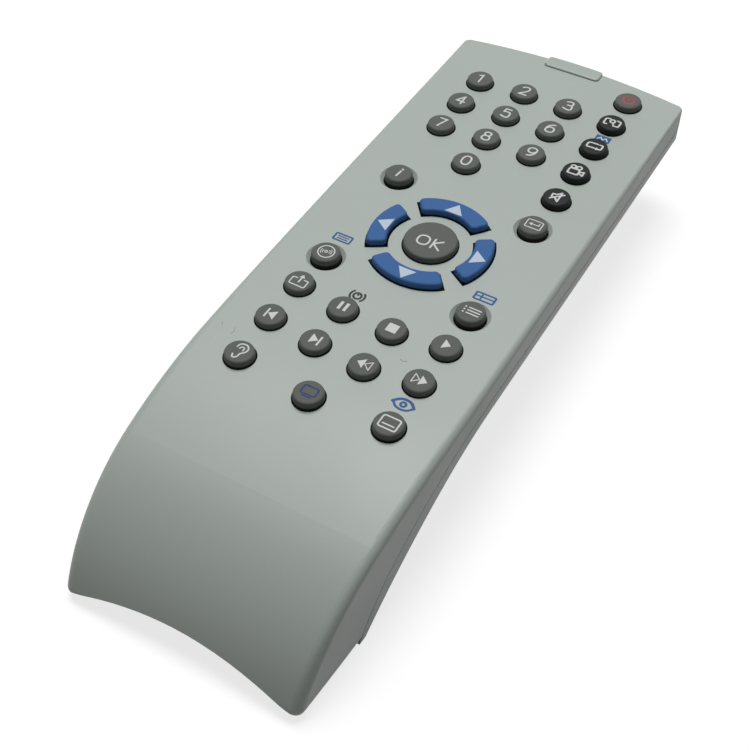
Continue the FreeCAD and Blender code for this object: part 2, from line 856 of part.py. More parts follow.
lower_room = common("lower_room", [
    extrude("plan_lower_room",
            sketch("plan_lower_room_sketch", plan_edges(rim_outer + size("rim_seat"),
                                                        size("inner_corner_radius"))),
            top_z + past),
    extrude("lower_room_side", sketch("lower_room_sketch", lower_room_edges(), YZ_PLANE),
            wide, symmetric=True),
])
tray = cut("tray", tray_block, lower_room)


def rim_strip_edges():
    """A strip along the parting line, from the rim's root to its top, seen from the side."""
    high = parting_steps(-size("rim_height"))
    low = parting_steps(size("rim_root"))
    start = Vector(far_y, parting_z + size("rim_height"), 0)
    return outline_points(
        ("to", start),
        *high,
        ("to", low[-1][-1]),
        *reversed_steps(low[1:], low[0][-1]),
        ("to", Vector(far_y, parting_z - size("rim_root"), 0)),
    )


rim_plan = cut("rim_plan", extrude("rim_outside", sketch("rim_outside_sketch",
                                   plan_edges(rim_outer, size("inner_corner_radius"))), top_z),
               extrude("rim_inside", sketch("rim_inside_sketch",
                       plan_edges(rim_outer + size("rim_width"), size("inner_corner_radius"))), top_z))
rim_strip = extrude("rim_strip", sketch("rim_strip_sketch", rim_strip_edges(), YZ_PLANE),
                    size("body_width"), symmetric=True)
rim = common("rim", [rim_plan, rim_strip])

# The rear of the heel and the nose that tucks in behind the front lip
heel_front = heel_y + size("heel_wall")
nose_profile = outline_points(
    ("to", Vector(heel_front, 0, 0)),
    ("to", Vector(heel_front, size("nose_height") + size("lower_wall"), 0)),
    ("to", Vector(heel_y - size("nose_reach"), size("nose_height") + size("lower_wall"), 0)),
    ("to", Vector(heel_y - size("nose_reach"), size("nose_height"), 0)),
    ("to", Vector(heel_y, size("nose_height"), 0)),
    ("to", Vector(heel_y, 0, 0)),
)
nose = common("nose", [
    extrude("plan_nose", sketch("plan_nose_sketch", plan_edges(size("side_wall") + size("parting_gap"),
                                                               size("inner_corner_radius"))), top_z),
    extrude("nose_side", sketch("nose_sketch", nose_profile, YZ_PLANE), size("body_width"),
            symmetric=True),
])
bay_block = box("bay_block", (-bay_half_width - size("bay_wall"), size("bay_start") - size("bay_wall"), 3),
                (bay_half_width + size("bay_wall"), bay_end + size("bay_wall"), bay_top + size("bay_roof")))
lower_solids = [tray, rim, belly, nose, bay_block]
post_top = board_bottom - size("seat_gap")
screw_seat_z = size("boss_end_height") - size("screw_floor")
for side in (-1, 1):
    for number, peg_y in enumerate(peg_rows):
        lower_solids.append(rod("post_%d_%d" % (side, number), "post_radius",
                                Vector(side * peg_x, peg_y, tray_floor - bury),
                                post_top - tray_floor + bury))
    screw_post = plain_rod("screw_post_blank_%d" % side, size("screw_head_radius") + size("post_wall"),
                           Vector(side * screw_x, screw_y, 0),
                           size("boss_end_height") - size("seat_gap"))
    lower_solids.append(common("screw_post_%d" % side, [screw_post, tray_block]))
lower_solid = fuse("lower_solid", lower_solids)

rail_low = size("cover_recess") + size("cover_rail_lift")
rail_top = rail_low + size("cover_rail_height")
play = size("cover_clearance")
cover_way_y = belly_start - size("belly_slope_run") - past
lower_tools = [
    box("bay_room", (-bay_half_width, size("bay_start"), opening_top),
        (bay_half_width, bay_end, bay_top)),
    box("cover_opening", (-cover_half_width - play, cover_way_y, -past),
        (cover_half_width + play, cover_end + play, opening_top + play / 10)),
    box("rail_groove", (-cover_half_width - size("cover_rail_width") - play, cover_way_y, rail_low - play),
        (cover_half_width + size("cover_rail_width") + play, cover_end + play, rail_top + play)),
]
for side in (-1, 1):
    here = Vector(side * screw_x, screw_y, -past)
    lower_tools.append(plain_rod("counterbore_%d" % side,
                                 size("screw_head_radius") + size("counterbore_gap"), here,
                                 screw_seat_z + past))
    lower_tools.append(plain_rod("screw_way_%d" % side,
                                 size("screw_shank_radius") + size("screw_way_gap"), here, top_z))
slot_half = size("contact_tail_width") / 2 + size("tail_gap")
slot_depth = size("contact_thickness") + size("seat_gap") + size("tail_gap")
for name, slot_x in (("plus", -cell_x), ("minus", cell_x)):
    lower_tools.append(box("tail_slot_" + name, (slot_x - slot_half, bay_end - slot_depth, bay_top - bury),
                           (slot_x + slot_half, bay_end, bay_top + size("bay_roof") + past)))
lower_cuts = combine("Part::Compound", "lower_cuts", lower_tools)
keep(cut("lower_casing", lower_solid, lower_cuts), "lower_casing")

# Battery cover
cover_blank = common("cover_blank", [
    belly,
    box("cover_limit", (-cover_half_width, cover_way_y, size("cover_recess")),
        (cover_half_width, cover_end, cover_top)),
])
latch_low = opening_top + play
cover_solids = [cover_blank]
for side in (-1, 1):
    reach = cover_half_width + size("cover_rail_width")
    low_x, high_x = sorted((side * (cover_half_width - bury), side * reach))
    cover_solids.append(box("rail_%d" % side, (low_x, size("bay_start"), rail_low),
                            (high_x, cover_end, rail_top)))
half_latch = size("latch_width") / 2
latch_back = cover_end - size("latch_root_length")
cover_solids.append(box("latch_root", (-half_latch, latch_back, cover_top - bury),
                        (half_latch, cover_end, latch_low + size("latch_thickness"))))
cover_solids.append(box("latch_tongue", (-half_latch, latch_back, latch_low),
                        (half_latch, cover_end + size("latch_reach"),
                         latch_low + size("latch_thickness"))))
cover_solid = fuse("cover_solid", cover_solids)
ribs = []
for number in range(int(size("grip_rib_count"))):
    rib_y = belly_start + size("grip_start") + number * size("grip_rib_pitch")
    ribs.append(box("grip_%d" % number, (-size("grip_half_width"), rib_y, 0),
                    (size("grip_half_width"), rib_y + size("grip_rib_width"),
                     size("cover_recess") + size("grip_rib_depth"))))
keep(cut("battery_cover", cover_solid, combine("Part::Compound", "grip_grooves", ribs)), "battery_cover")


# Keys

def plane_of(body, role):
    """An origin plane of a body, by its role."""
    return [item for item in body.Origin.OriginFeatures if item.Role == role][0]


def turned_body(label, points):
    """A body turned about its own Z axis from (radius, height) points."""
    body = doc.addObject("PartDesign::Body", label)
    profile = body.newObject("Sketcher::SketchObject", label + "_profile")
    profile.AttachmentSupport = [(plane_of(body, "XZ_Plane"), "")]
    profile.MapMode = "FlatFace"
    profile.addGeometry(outline_points(*[("to", Vector(r, z, 0)) for r, z in points]), False)
    turn = body.newObject("PartDesign::Revolution", label + "_turn")
    turn.Profile = profile
    turn.ReferenceAxis = (profile, ["V_Axis"])
    turn.Angle = 360.0
    body.Tip = turn
    return body, turn


def soften(body, feature, radius, wanted):
    """Rounds the edges of a body's last feature."""
    doc.recompute()
    names = ["Edge%d" % i for i, edge in enumerate(feature.Shape.Edges, start=1) if wanted(edge)]
    soft = body.newObject("PartDesign::Fillet", body.Name + "_soft")
    soft.Base = (feature, names)
    soft.Radius = radius
    body.Tip = soft
    return soft


def round_key(label, column, row, base_radius, top_radius, flange):
    """A rubber key: contact stem, retaining flange and a slightly tapered cap with a soft rim."""
    points = [
        (0, stem_bottom), (size("key_stem_radius"), stem_bottom),
        (size("key_stem_radius"), flange_bottom), (flange, flange_bottom), (flange, flange_top),
        (base_radius, flange_top), (base_radius, top_z), (top_radius, key_top), (0, key_top),
    ]
    body, turn = turned_body(label, points)

    def is_rim(edge):
        return edge.BoundBox.ZMin > key_top - touching

    soften(body, turn, size("key_edge_radius"), is_rim)
    place_key(body, column, row)
    keep(body, label)


for name, column, row, dished in ROUND_KEYS:
    round_key(name, column, row, size("key_base_radius"), size("key_top_radius"), flange_radius)
taper = size("key_base_radius") - size("key_top_radius")
round_key("key_ok", 0.0, 0.0, size("ok_radius"), size("ok_radius") - taper,
          size("ok_radius") + size("key_gap") + size("key_flange"))

stem_ring = (size("ring_inner") + size("ring_outer")) / 2
for name, heading, angle_alias in ARROW_KEYS:
    angle = size(angle_alias)
    cap = sector("cap_" + name, heading, angle, 0.0, flange_bottom, key_top)

    def is_cap_corner(edge):
        return edge.BoundBox.ZLength > size("key_height")

    def is_cap_rim(edge):
        return edge.BoundBox.ZMin > key_top - touching

    cornered = round_edges("cornered_" + name, cap, size("arrow_corner_radius"), is_cap_corner)
    soft_cap = round_edges("soft_" + name, cornered, size("key_edge_radius"), is_cap_rim)
    flange = sector("flange_" + name, heading, angle, size("arrow_flange"), flange_bottom, flange_top)
    solids = [soft_cap, flange]
    for offset in (-angle / 3, angle / 3):
        turn = math.radians(heading + offset)
        foot = ring_centre + Vector(math.cos(turn), math.sin(turn), 0) * stem_ring
        solids.append(rod("stem_%s_%d" % (name, offset), "key_stem_radius",
                          foot + Vector(0, 0, stem_bottom), flange_bottom - stem_bottom + bury))
    keep(fuse(name, solids), name)

# Silicone mat and circuit board


def sheet_edges(half, near, far, corner, notch_half, notch_depth):
    """A sheet with rounded corners and a notch in its far edge."""
    slant = corner * (1 - 1 / math.sqrt(2))
    return outline_points(
        ("to", Vector(-half + corner, near, 0)),
        ("to", Vector(half - corner, near, 0)),
        ("by", Vector(half - slant, near + slant, 0), Vector(half, near + corner, 0)),
        ("to", Vector(half, far - corner, 0)),
        ("by", Vector(half - slant, far - slant, 0), Vector(half - corner, far, 0)),
        ("to", Vector(notch_half, far, 0)),
        ("to", Vector(notch_half, far - notch_depth, 0)),
        ("to", Vector(-notch_half, far - notch_depth, 0)),
        ("to", Vector(-notch_half, far, 0)),
        ("to", Vector(-half + corner, far, 0)),
        ("by", Vector(-half + slant, far - slant, 0), Vector(-half, far - corner, 0)),
        ("to", Vector(-half, near + corner, 0)),
        ("by", Vector(-half + slant, near + slant, 0), Vector(-half + corner, near, 0)),
    )


def padded_sheet(label, low_z, thickness_alias, notch_depth):
    """A body padded up from a notched sheet outline."""
    body = doc.addObject("PartDesign::Body", label)
    profile = body.newObject("Sketcher::SketchObject", label + "_profile")
    profile.AttachmentSupport = [(plane_of(body, "XY_Plane"), "")]
    profile.MapMode = "FlatFace"
    profile.addGeometry(sheet_edges(board_half_width, size("mat_near_y"), mat_far_y,
                                    size("mat_corner_radius"), size("board_notch_half_width"),
                                    notch_depth), False)
    pad = body.newObject("PartDesign::Pad", label + "_pad")
    pad.Profile = profile
    pad.setExpression("Length", "Sizes." + thickness_alias)
    body.Tip = pad
    body.Placement = Placement(Vector(0, 0, low_z), Rotation())
    return body


mat_sheet = padded_sheet("mat_sheet", board_top, "mat_thickness", size("mat_notch_depth"))
stem_places = [(name, key_place(column, row)) for name, column, row, dished in ROUND_KEYS]
stem_places.append(("key_ok", ring_centre))
for name, heading, angle_alias in ARROW_KEYS:
    for offset in (-size(angle_alias) / 3, size(angle_alias) / 3):
        turn = math.radians(heading + offset)
        stem_places.append(("%s_%d" % (name, offset),
                            ring_centre + Vector(math.cos(turn), math.sin(turn), 0) * stem_ring))
mat_solids = [mat_sheet]
mat_tools = []
for name, place in stem_places:
    radius = size("mat_dome_radius")
    dome = doc.addObject("Part::Cone", "dome_" + name)
    dome.Radius1 = radius
    dome.Radius2 = radius - size("mat_dome_height")
    dome.Height = size("mat_dome_height") + bury
    dome.Placement = Placement(place + Vector(0, 0, mat_top - bury), Rotation())
    mat_solids.append(dome)
    mat_tools.append(plain_rod("mat_hole_" + name, size("key_stem_radius") + size("mat_stem_clearance"),
                               place + Vector(0, 0, board_top - past), 2 * past))
keep(cut("keypad_mat", fuse("mat_solid", mat_solids), combine("Part::Compound", "mat_cuts", mat_tools)),
     "keypad_mat")
keep(padded_sheet("circuit_board", board_bottom, "board_thickness", size("board_notch_depth")),
     "circuit_board")

# Infrared window and emitters
window_bound = extrude("window_bound", sketch("window_bound_sketch",
                       plan_edges(0.0, size("corner_radius"), size("window_proud"))), top_z + past)
window = common("window", [window_shape("window", 0.0), window_bound])


def is_window_end(edge):
    """The two upright corners at the infrared end."""
    b = edge.BoundBox
    return b.ZLength > size("window_rise") and b.XLength < touching and b.YMin > end_y


def is_window_rim(edge):
    """The outer rim of the pad that stands above the casing."""
    b = edge.BoundBox
    return b.ZMin > top_z + size("window_rise") - touching


cornered_window = round_edges("cornered_window", window, size("window_end_radius"), is_window_end)
keep(round_edges("ir_window", cornered_window, size("window_edge_radius"), is_window_rim), "ir_window")

emitter_z = board_top + size("emitter_lift")
emitter_back = end_y - size("side_wall") - size("emitter_gap") - size("emitter_length")
lead_z = board_top + size("seat_gap") + size("lead_thickness") / 2
board_edge = mat_far_y - size("board_notch_depth")
lead = size("lead_thickness")
emitters = []
for side in (-1, 1):
    here = Vector(side * size("emitter_spacing") / 2, emitter_back, emitter_z)
    lens = rod("emitter_lens_%d" % side, "emitter_radius", here, size("emitter_length"), Vector(0, 1, 0))

    def is_tip(edge):
        return edge.BoundBox.YMin > emitter_back + size("emitter_length") - touching

    tip = round_edges("emitter_tip_%d" % side, lens, size("emitter_tip_radius"), is_tip)
    rim = rod("emitter_rim_%d" % side, "emitter_rim_radius", here, size("emitter_rim_thickness"),
              Vector(0, 1, 0))
    solids = [tip, rim]
    for lead_side in (-1, 1):
        low_x = here.x + lead_side * size("lead_spacing") / 2 - lead / 2
        solids.append(box("lead_%d_%d" % (side, lead_side),
                          (low_x, board_edge - size("lead_seat"), lead_z - lead / 2),
                          (low_x + lead, emitter_back + bury, lead_z + lead / 2)))
    emitters.append(fuse("emitter_%d" % side, solids))
keep(combine("Part::Compound", "ir_emitters", emitters), "ir_emitters")

# Parts under the board
chip_low = board_bottom - size("chip_height")
chip_body = box("chip_body", (-size("chip_length") / 2, size("chip_y") - size("chip_width") / 2, chip_low),
                (size("chip_length") / 2, size("chip_y") + size("chip_width") / 2,
                 board_bottom - size("chip_standoff")))
chip_solids = [chip_body]
pin_gaps = int(size("chip_length") / size("chip_pin_pitch")) - 1
for number in range(pin_gaps + 1):
    pin_x = (number - pin_gaps / 2) * size("chip_pin_pitch")
    for side in (-1, 1):
        near_y, away_y = sorted((size("chip_y") + side * (size("chip_width") / 2 - bury),
                                 size("chip_y") + side * (size("chip_width") / 2 + size("chip_pin_reach"))))
        chip_solids.append(box("pin_%d_%d" % (side, number),
                               (pin_x - size("chip_pin_width") / 2, near_y,
                                board_bottom - size("seat_gap") - size("chip_pin_thickness")),
                               (pin_x + size("chip_pin_width") / 2, away_y,
                                board_bottom - size("seat_gap"))))
keep(fuse("controller_chip", chip_solids), "controller_chip")

under_board = board_bottom - size("seat_gap")
capacitor = rod("capacitor_can", "capacitor_radius",
                Vector(size("capacitor_x"), size("capacitor_y") - size("capacitor_length") / 2,
                       under_board - size("capacitor_radius")),
                size("capacitor_length"), Vector(0, 1, 0))
keep(capacitor, "capacitor")


def under_block(name, x, y, length, width, height):
    """A block under the board, centred on (x, y)."""
    return box(name, (x - length / 2, y - width / 2, under_board - height),
               (x + length / 2, y + width / 2, under_board))


keep(under_block("resonator_block", size("resonator_x"), size("parts_row_y"), size("resonator_length"),
                 size("resonator_width"), size("resonator_height")), "resonator")
keep(under_block("transistor_block", size("transistor_x"), size("parts_row_y"), size("transistor_side"),
                 size("transistor_side"), size("transistor_height")), "transistor")
resistors = []
resistor_count = int(size("resistor_count"))
for number in range(resistor_count):
    resistor_x = (number - (resistor_count - 1) / 2) * size("resistor_pitch")
    resistors.append(under_block("resistor_%d" % number, resistor_x, size("resistor_y"),
                                 size("resistor_length"), size("resistor_width"),
                                 size("resistor_height")))
keep(combine("Part::Compound", "resistors", resistors), "resistors")


# Cells and their contacts

def cell(label, x, plus_up):
    """A round cell whose plus nub points to the infrared end or away from it."""
    length = size("cell_length")
    nub = size("cell_nub_diameter") / 2
    top = length + size("cell_nub_height")
    points = [(0, 0), (cell_radius, 0), (cell_radius, length), (nub, length), (nub, top), (0, top)]
    body, turn = turned_body(label, points)

    def is_rim(edge):
        b = edge.BoundBox
        return b.ZLength < touching and b.XLength > size("cell_nub_diameter") + touching

    soften(body, turn, size("cell_edge_radius"), is_rim)
    if plus_up:
        body.Placement = Placement(Vector(x, size("bay_start") + size("bay_spring_room"), cell_z),
                                   Rotation(Vector(1, 0, 0), -90))
    else:
        body.Placement = Placement(Vector(x, bay_end - size("bay_spring_room"), cell_z),
                                   Rotation(Vector(1, 0, 0), 90))
    keep(body, label)


cell("battery_left", -cell_x, True)
cell("battery_right", cell_x, False)

thin = size("contact_thickness")


def contact_plate(name, low_x, high_x, wall_y, side):
    """A plate that stands against an end wall of the bay. side is +1 at the near wall."""
    low_y, high_y = sorted((wall_y + side * size("seat_gap"), wall_y + side * (size("seat_gap") + thin)))
    half = size("contact_height") / 2
    return box(name, (low_x, low_y, cell_z - half), (high_x, high_y, cell_z + half))


def contact_bump(name, x, wall_y, side):
    """The raised spot that a cell's plus nub rests on."""
    depth = size("bay_contact_room") - 2 * size("seat_gap") - thin + bury
    start = wall_y + side * (size("seat_gap") + thin - bury)
    return rod(name, "contact_bump_radius", Vector(x, start, cell_z), depth, Vector(0, side, 0))


def contact_spring(name, x, wall_y, side):
    """A coil spring that stands on a contact plate and presses on a cell's flat end."""
    wire = size("spring_wire") / 2
    room = size("bay_spring_room") - size("seat_gap") - thin - 2 * wire + bury
    pitch = room / size("spring_turns")
    helix = Part.makeHelix(pitch, room, size("spring_radius"))
    profile = Part.Wire(Part.makeCircle(wire, Vector(size("spring_radius"), 0, 0), Vector(0, 1, 0)))
    coil = Part.Wire(helix).makePipeShell([profile], True, True)
    item = doc.addObject("Part::Feature", name)
    item.Shape = coil
    start = wall_y + side * (size("seat_gap") + thin + wire - bury)
    item.Placement = Placement(Vector(x, start, cell_z), Rotation(Vector(0, 0, 1), Vector(0, side, 0)))
    return item


def contact_tail(name, x):
    """A strip from a contact at the infrared end up through the bay's roof to the board."""
    half = size("contact_tail_width") / 2
    return box(name, (x - half, bay_end - size("seat_gap") - thin, cell_z),
               (x + half, bay_end - size("seat_gap"), board_bottom - size("seat_gap")))


half_contact = size("contact_width") / 2
keep(fuse("link_contact", [
    contact_plate("link_plate", -cell_x - half_contact, cell_x + half_contact, size("bay_start"), 1),
    contact_spring("link_spring", -cell_x, size("bay_start"), 1),
    contact_bump("link_bump", cell_x, size("bay_start"), 1),
]), "link_contact")
keep(fuse("plate_contact", [
    contact_plate("plus_plate", -cell_x - half_contact, -cell_x + half_contact, bay_end, -1),
    contact_bump("plus_bump", -cell_x, bay_end, -1),
    contact_tail("plus_tail", -cell_x),
]), "plate_contact")
keep(fuse("spring_contact", [
    contact_plate("minus_plate", cell_x - half_contact, cell_x + half_contact, bay_end, -1),
    contact_spring("minus_spring", cell_x, bay_end, -1),
    contact_tail("minus_tail", cell_x),
]), "spring_contact")

# Casing screws, driven from below
screws = []
head_low = screw_seat_z - size("screw_head_height") - size("seat_gap")
for side in (-1, 1):
    here = Vector(side * screw_x, screw_y, 0)
    head = rod("screw_head_%d" % side, "screw_head_radius", here + Vector(0, 0, head_low),
               size("screw_head_height"))
    shank = rod("screw_shank_%d" % side, "screw_shank_radius",
                here + Vector(0, 0, screw_seat_z - size("seat_gap") - bury), size("screw_length") + bury)
    cross = []
    for turn in (0, 90):
        half_slot = size("screw_slot_length") / 2
        half_width_slot = size("screw_slot_width") / 2
        slot = box("screw_slot_%d_%d" % (side, turn), (-half_slot, -half_width_slot, -past),
                   (half_slot, half_width_slot, size("screw_slot_depth")))
        slot.Placement = Placement(here + Vector(0, 0, head_low), Rotation(Vector(0, 0, 1), turn)
                                   ).multiply(slot.Placement)
        cross.append(slot)
    solid = fuse("screw_solid_%d" % side, [head, shank])
    screws.append(cut("screw_%d" % side, solid, fuse("screw_cross_%d" % side, cross)))
keep(combine("Part::Compound", "casing_screws", screws), "casing_screws")

# Checks and export
doc.recompute()
for item in doc.Objects:
    if "Invalid" in item.State or "Error" in item.State:
        raise RuntimeError("%s failed: %s" % (item.Label, item.State))
os.makedirs("parts", exist_ok=True)
for item in parts:
    if item.Shape.isNull() or not item.Shape.isValid():
        raise RuntimeError("%s has no valid shape" % item.Label)
for item in parts:
    item.Shape.exportStep("parts/%s.step" % item.Label)
    b = item.Shape.BoundBox
    print("%-16s solids %d volume %9.1f  x %6.1f %6.1f  y %6.1f %6.1f  z %5.1f %5.1f" % (
        item.Label, len(item.Shape.Solids), item.Shape.Volume, b.XMin, b.XMax, b.YMin, b.YMax,
        b.ZMin, b.ZMax))
print(len(parts), "sub-parts")
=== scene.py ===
# %% [markdown]
# # A disc player's remote control
# The object is a bowed handset of pale plastic with grey rubber keys. Its solids come from the CAD
# model. This lesson dresses them: it sets the camera, gives each solid its finish, and makes the
# rubber keys and their printing as surfaces of its own. Everything is in metres, X across the
# handset, Y towards the infrared end and Z up from the table.

import math

import bpy
import numpy as np
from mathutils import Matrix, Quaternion, Vector


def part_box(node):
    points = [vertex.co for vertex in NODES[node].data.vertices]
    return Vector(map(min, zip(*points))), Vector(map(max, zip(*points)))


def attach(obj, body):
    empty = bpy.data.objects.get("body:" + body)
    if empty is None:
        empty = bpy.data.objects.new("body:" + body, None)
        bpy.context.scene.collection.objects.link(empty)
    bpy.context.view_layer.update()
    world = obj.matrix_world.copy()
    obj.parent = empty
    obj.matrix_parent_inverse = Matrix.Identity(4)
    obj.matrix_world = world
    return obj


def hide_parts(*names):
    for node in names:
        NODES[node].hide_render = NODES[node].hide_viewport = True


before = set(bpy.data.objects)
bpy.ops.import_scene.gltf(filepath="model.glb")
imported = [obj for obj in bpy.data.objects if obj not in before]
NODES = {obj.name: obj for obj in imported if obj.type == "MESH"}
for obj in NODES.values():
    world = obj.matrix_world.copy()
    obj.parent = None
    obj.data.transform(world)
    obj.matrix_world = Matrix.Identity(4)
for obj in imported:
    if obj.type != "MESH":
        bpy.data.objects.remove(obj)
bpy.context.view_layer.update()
MM = 0.001
TOP_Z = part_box("upper_casing")[1].z
KEY_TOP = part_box("key_ok")[1].z

# %% [markdown]
# ## Camera
# The photograph was taken from the near right, looking down at about 49 degrees. A camera is easiest to
# place by its stand point and its heading: azimuth 0 looks along +Y, and the elevation is the angle at
# which it looks down. The focal length is written in pixels of a 750 pixel wide picture and turned
# into millimetres on Blender's 36 mm sensor.

# %% Place the camera
PICTURE = 750
FOCAL_PIXELS = 1250.0
SENSOR = 36.0
NEAR_CLIP, FAR_CLIP = 0.01, 20.0
STAND = Vector((87.13, -157.6, 200.0)) * MM
AZIMUTH, ELEVATION, ROLL = (math.radians(v) for v in (31.03, 48.68, -0.775))

camera_data = bpy.data.cameras.new("camera")
camera = bpy.data.objects.new("camera", camera_data)
bpy.context.scene.collection.objects.link(camera)
heading = Vector((-math.sin(AZIMUTH) * math.cos(ELEVATION), math.cos(AZIMUTH) * math.cos(ELEVATION),
                  -math.sin(ELEVATION)))
camera.rotation_mode = "QUATERNION"
camera.rotation_quaternion = heading.to_track_quat("-Z", "Y") @ Quaternion((0, 0, 1), ROLL)
camera.location = STAND
camera_data.sensor_width = SENSOR
camera_data.lens = FOCAL_PIXELS / PICTURE * SENSOR
camera_data.clip_start, camera_data.clip_end = NEAR_CLIP, FAR_CLIP
bpy.context.scene.camera = camera
print("lens", round(camera_data.lens, 2), "mm")

# %% [markdown]
# ## Small helpers for node trees
# A material, the world and a node group are all trees of nodes. Building them by hand repeats the same
# four steps: make a node, set a socket, link a socket, do a sum. Short helpers for these keep the later
# cells down to what matters, which value feeds which.

# %% Helpers for materials, sums and ranges
def give(tree, socket, value):
    """Links a socket to another node's output, or writes a plain value into it."""
    if isinstance(value, bpy.types.NodeSocket):
        tree.links.new(value, socket)
    else:
        socket.default_value = value


def add(tree, kind, **sockets):
    """A node of a kind with some of its input sockets set or linked, by name."""
    node = tree.nodes.new(kind)
    for name, value in sockets.items():
        give(tree, node.inputs[name.replace("_", " ")], value)
    return node


def math_node(tree, operation, first, second, clamp=False):
    """The sum, product or other result of two values or sockets."""
    node = tree.nodes.new("ShaderNodeMath")
    node.operation = operation
    node.use_clamp = clamp
    give(tree, node.inputs[0], first)
    give(tree, node.inputs[1], second)
    return node.outputs[0]


def ranged(tree, value, start=0.0, end=1.0, low=0.0, high=1.0):
    """A value carried from the range start..end to the range low..high, and held at its ends."""
    return add(tree, "ShaderNodeMapRange", Value=value, From_Min=start, From_Max=end, To_Min=low,
               To_Max=high)


def new_material(name):
    """An empty node material, its tree and its output node."""
    material = bpy.data.materials.new(name)
    material.use_nodes = True
    tree = material.node_tree
    tree.nodes.clear()
    return material, tree, tree.nodes.new("ShaderNodeOutputMaterial")


def seen_directly(tree):
    """1 for rays of the camera, of mirrors and of clear surfaces, 0 for rays that carry light."""
    path = tree.nodes.new("ShaderNodeLightPath")
    camera_or_mirror = math_node(tree, "MAXIMUM", path.outputs["Is Camera Ray"],
                                 path.outputs["Is Glossy Ray"])
    return math_node(tree, "MAXIMUM", camera_or_mirror, path.outputs["Is Transmission Ray"])


print("helpers ready")

# %% [markdown]
# ## Floor
# The handset lies on something plain and white, and its soft shadow has to stay visible there. A really
# white floor would throw light back at the casing's sides, so this one is grey. It looks white because
# rays from the camera, and from glossy and clear surfaces, see light of its own added, which no other
# surface receives.

# %% Floor
FLOOR_HALF = 3.0
FLOOR_GREY = 0.36
FLOOR_LIFT = 0.765

floor_mesh = bpy.data.meshes.new("floor")
floor_mesh.from_pydata([(-FLOOR_HALF, -FLOOR_HALF, 0), (FLOOR_HALF, -FLOOR_HALF, 0),
                        (FLOOR_HALF, FLOOR_HALF, 0), (-FLOOR_HALF, FLOOR_HALF, 0)], [], [(0, 1, 2, 3)])
floor = bpy.data.objects.new("floor", floor_mesh)
bpy.context.scene.collection.objects.link(floor)
material, tree, output = new_material("floor")
paper = add(tree, "ShaderNodeBsdfDiffuse", Color=(FLOOR_GREY, FLOOR_GREY, FLOOR_GREY, 1))
glow = math_node(tree, "MULTIPLY", seen_directly(tree), FLOOR_LIFT)
light = add(tree, "ShaderNodeEmission", Color=(1, 1, 1, 1), Strength=glow)
both = tree.nodes.new("ShaderNodeAddShader")
tree.links.new(paper.outputs[0], both.inputs[0])
tree.links.new(light.outputs[0], both.inputs[1])
tree.links.new(both.outputs[0], output.inputs["Surface"])
floor_mesh.materials.append(material)
print("floor", 2 * FLOOR_HALF, "m wide, lift", FLOOR_LIFT)

# %% [markdown]
# ## Light
# The photograph's light comes from above and from behind the infrared end, so the bowed near end turns
# dark while the key field stays pale. One large soft lamp stands there, and a dim even sky fills the
# rest. Rays that see the sky itself find it white, as they find the floor.

# %% Sky and lamp
SKY = 0.06
LAMP_PLACE = Vector((-0.25, 0.45, 1.41))
LAMP_SIZE, LAMP_POWER = 0.8, 16.9

world = bpy.data.worlds.new("studio")
bpy.context.scene.world = world
world.use_nodes = True
tree = world.node_tree
tree.nodes.clear()
output = tree.nodes.new("ShaderNodeOutputWorld")
strength = ranged(tree, seen_directly(tree), low=SKY)
sky = add(tree, "ShaderNodeBackground", Color=(1, 1, 1, 1), Strength=strength.outputs[0])
tree.links.new(sky.outputs[0], output.inputs["Surface"])

lamp_data = bpy.data.lights.new("overhead", "AREA")
lamp_data.shape = "SQUARE"
lamp_data.size = LAMP_SIZE
lamp_data.energy = LAMP_POWER
lamp = bpy.data.objects.new("overhead", lamp_data)
bpy.context.scene.collection.objects.link(lamp)
lamp.location = LAMP_PLACE
lamp.rotation_mode = "QUATERNION"
lamp.rotation_quaternion = (-LAMP_PLACE).to_track_quat("-Z", "Y")
bpy.context.scene.view_settings.view_transform = "Standard"
print("sky", SKY, "lamp", LAMP_POWER, "W")

# %% [markdown]
# ## Shared surface effects
# Real surfaces are never one even colour. Three effects come back in every moulded finish: a fine
# grain, hairline scratches, and dust that settles on what faces up. Each is a node group, built once,
# that reads a position and puts out a mask or a height. The shader itself stays in each material, so
# that the export can read it. The grain comes first: one noise for its height, and a coarser one for
# colour that varies a little.

# %% The moulded grain
VECTOR, NUMBER = "NodeSocketVector", "NodeSocketFloat"
CLOUDS_PER_GRAIN = 0.02


def new_group(name, inputs, outputs):
    """A shader node group with float or vector sockets: inputs are (name, kind, value)."""
    group = bpy.data.node_groups.new(name, "ShaderNodeTree")
    for label, kind, value in inputs:
        socket = group.interface.new_socket(label, in_out="INPUT", socket_type=kind)
        if value is not None:
            socket.default_value = value
    for label in outputs:
        group.interface.new_socket(label, in_out="OUTPUT", socket_type=NUMBER)
    return group, group.nodes.new("NodeGroupInput"), group.nodes.new("NodeGroupOutput")


grain, source, sink = new_group(
    "moulded_grain", [("Position", VECTOR, None), ("Grains per metre", NUMBER, 3000.0)],
    ["Height", "Mottle"])
fine = add(grain, "ShaderNodeTexNoise", Vector=source.outputs["Position"],
           Scale=source.outputs["Grains per metre"], Detail=2.0, Roughness=0.6)
cloud_scale = math_node(grain, "MULTIPLY", source.outputs["Grains per metre"], CLOUDS_PER_GRAIN)
cloud = add(grain, "ShaderNodeTexNoise", Vector=source.outputs["Position"], Scale=cloud_scale,
            Detail=3.0)
grain.links.new(fine.outputs[0], sink.inputs["Height"])
grain.links.new(cloud.outputs[0], sink.inputs["Mottle"])
print("group", grain.name)

# %% [markdown]
# ## Scratches and dust
# A hairline scratch is the crest of a noise that is stretched along one direction, so only its highest
# values are kept. Two directions cross, and a second, coarse noise breaks the lines into worn patches.
# Dust is made the same way from a very fine noise, weighed by how far the surface faces up.

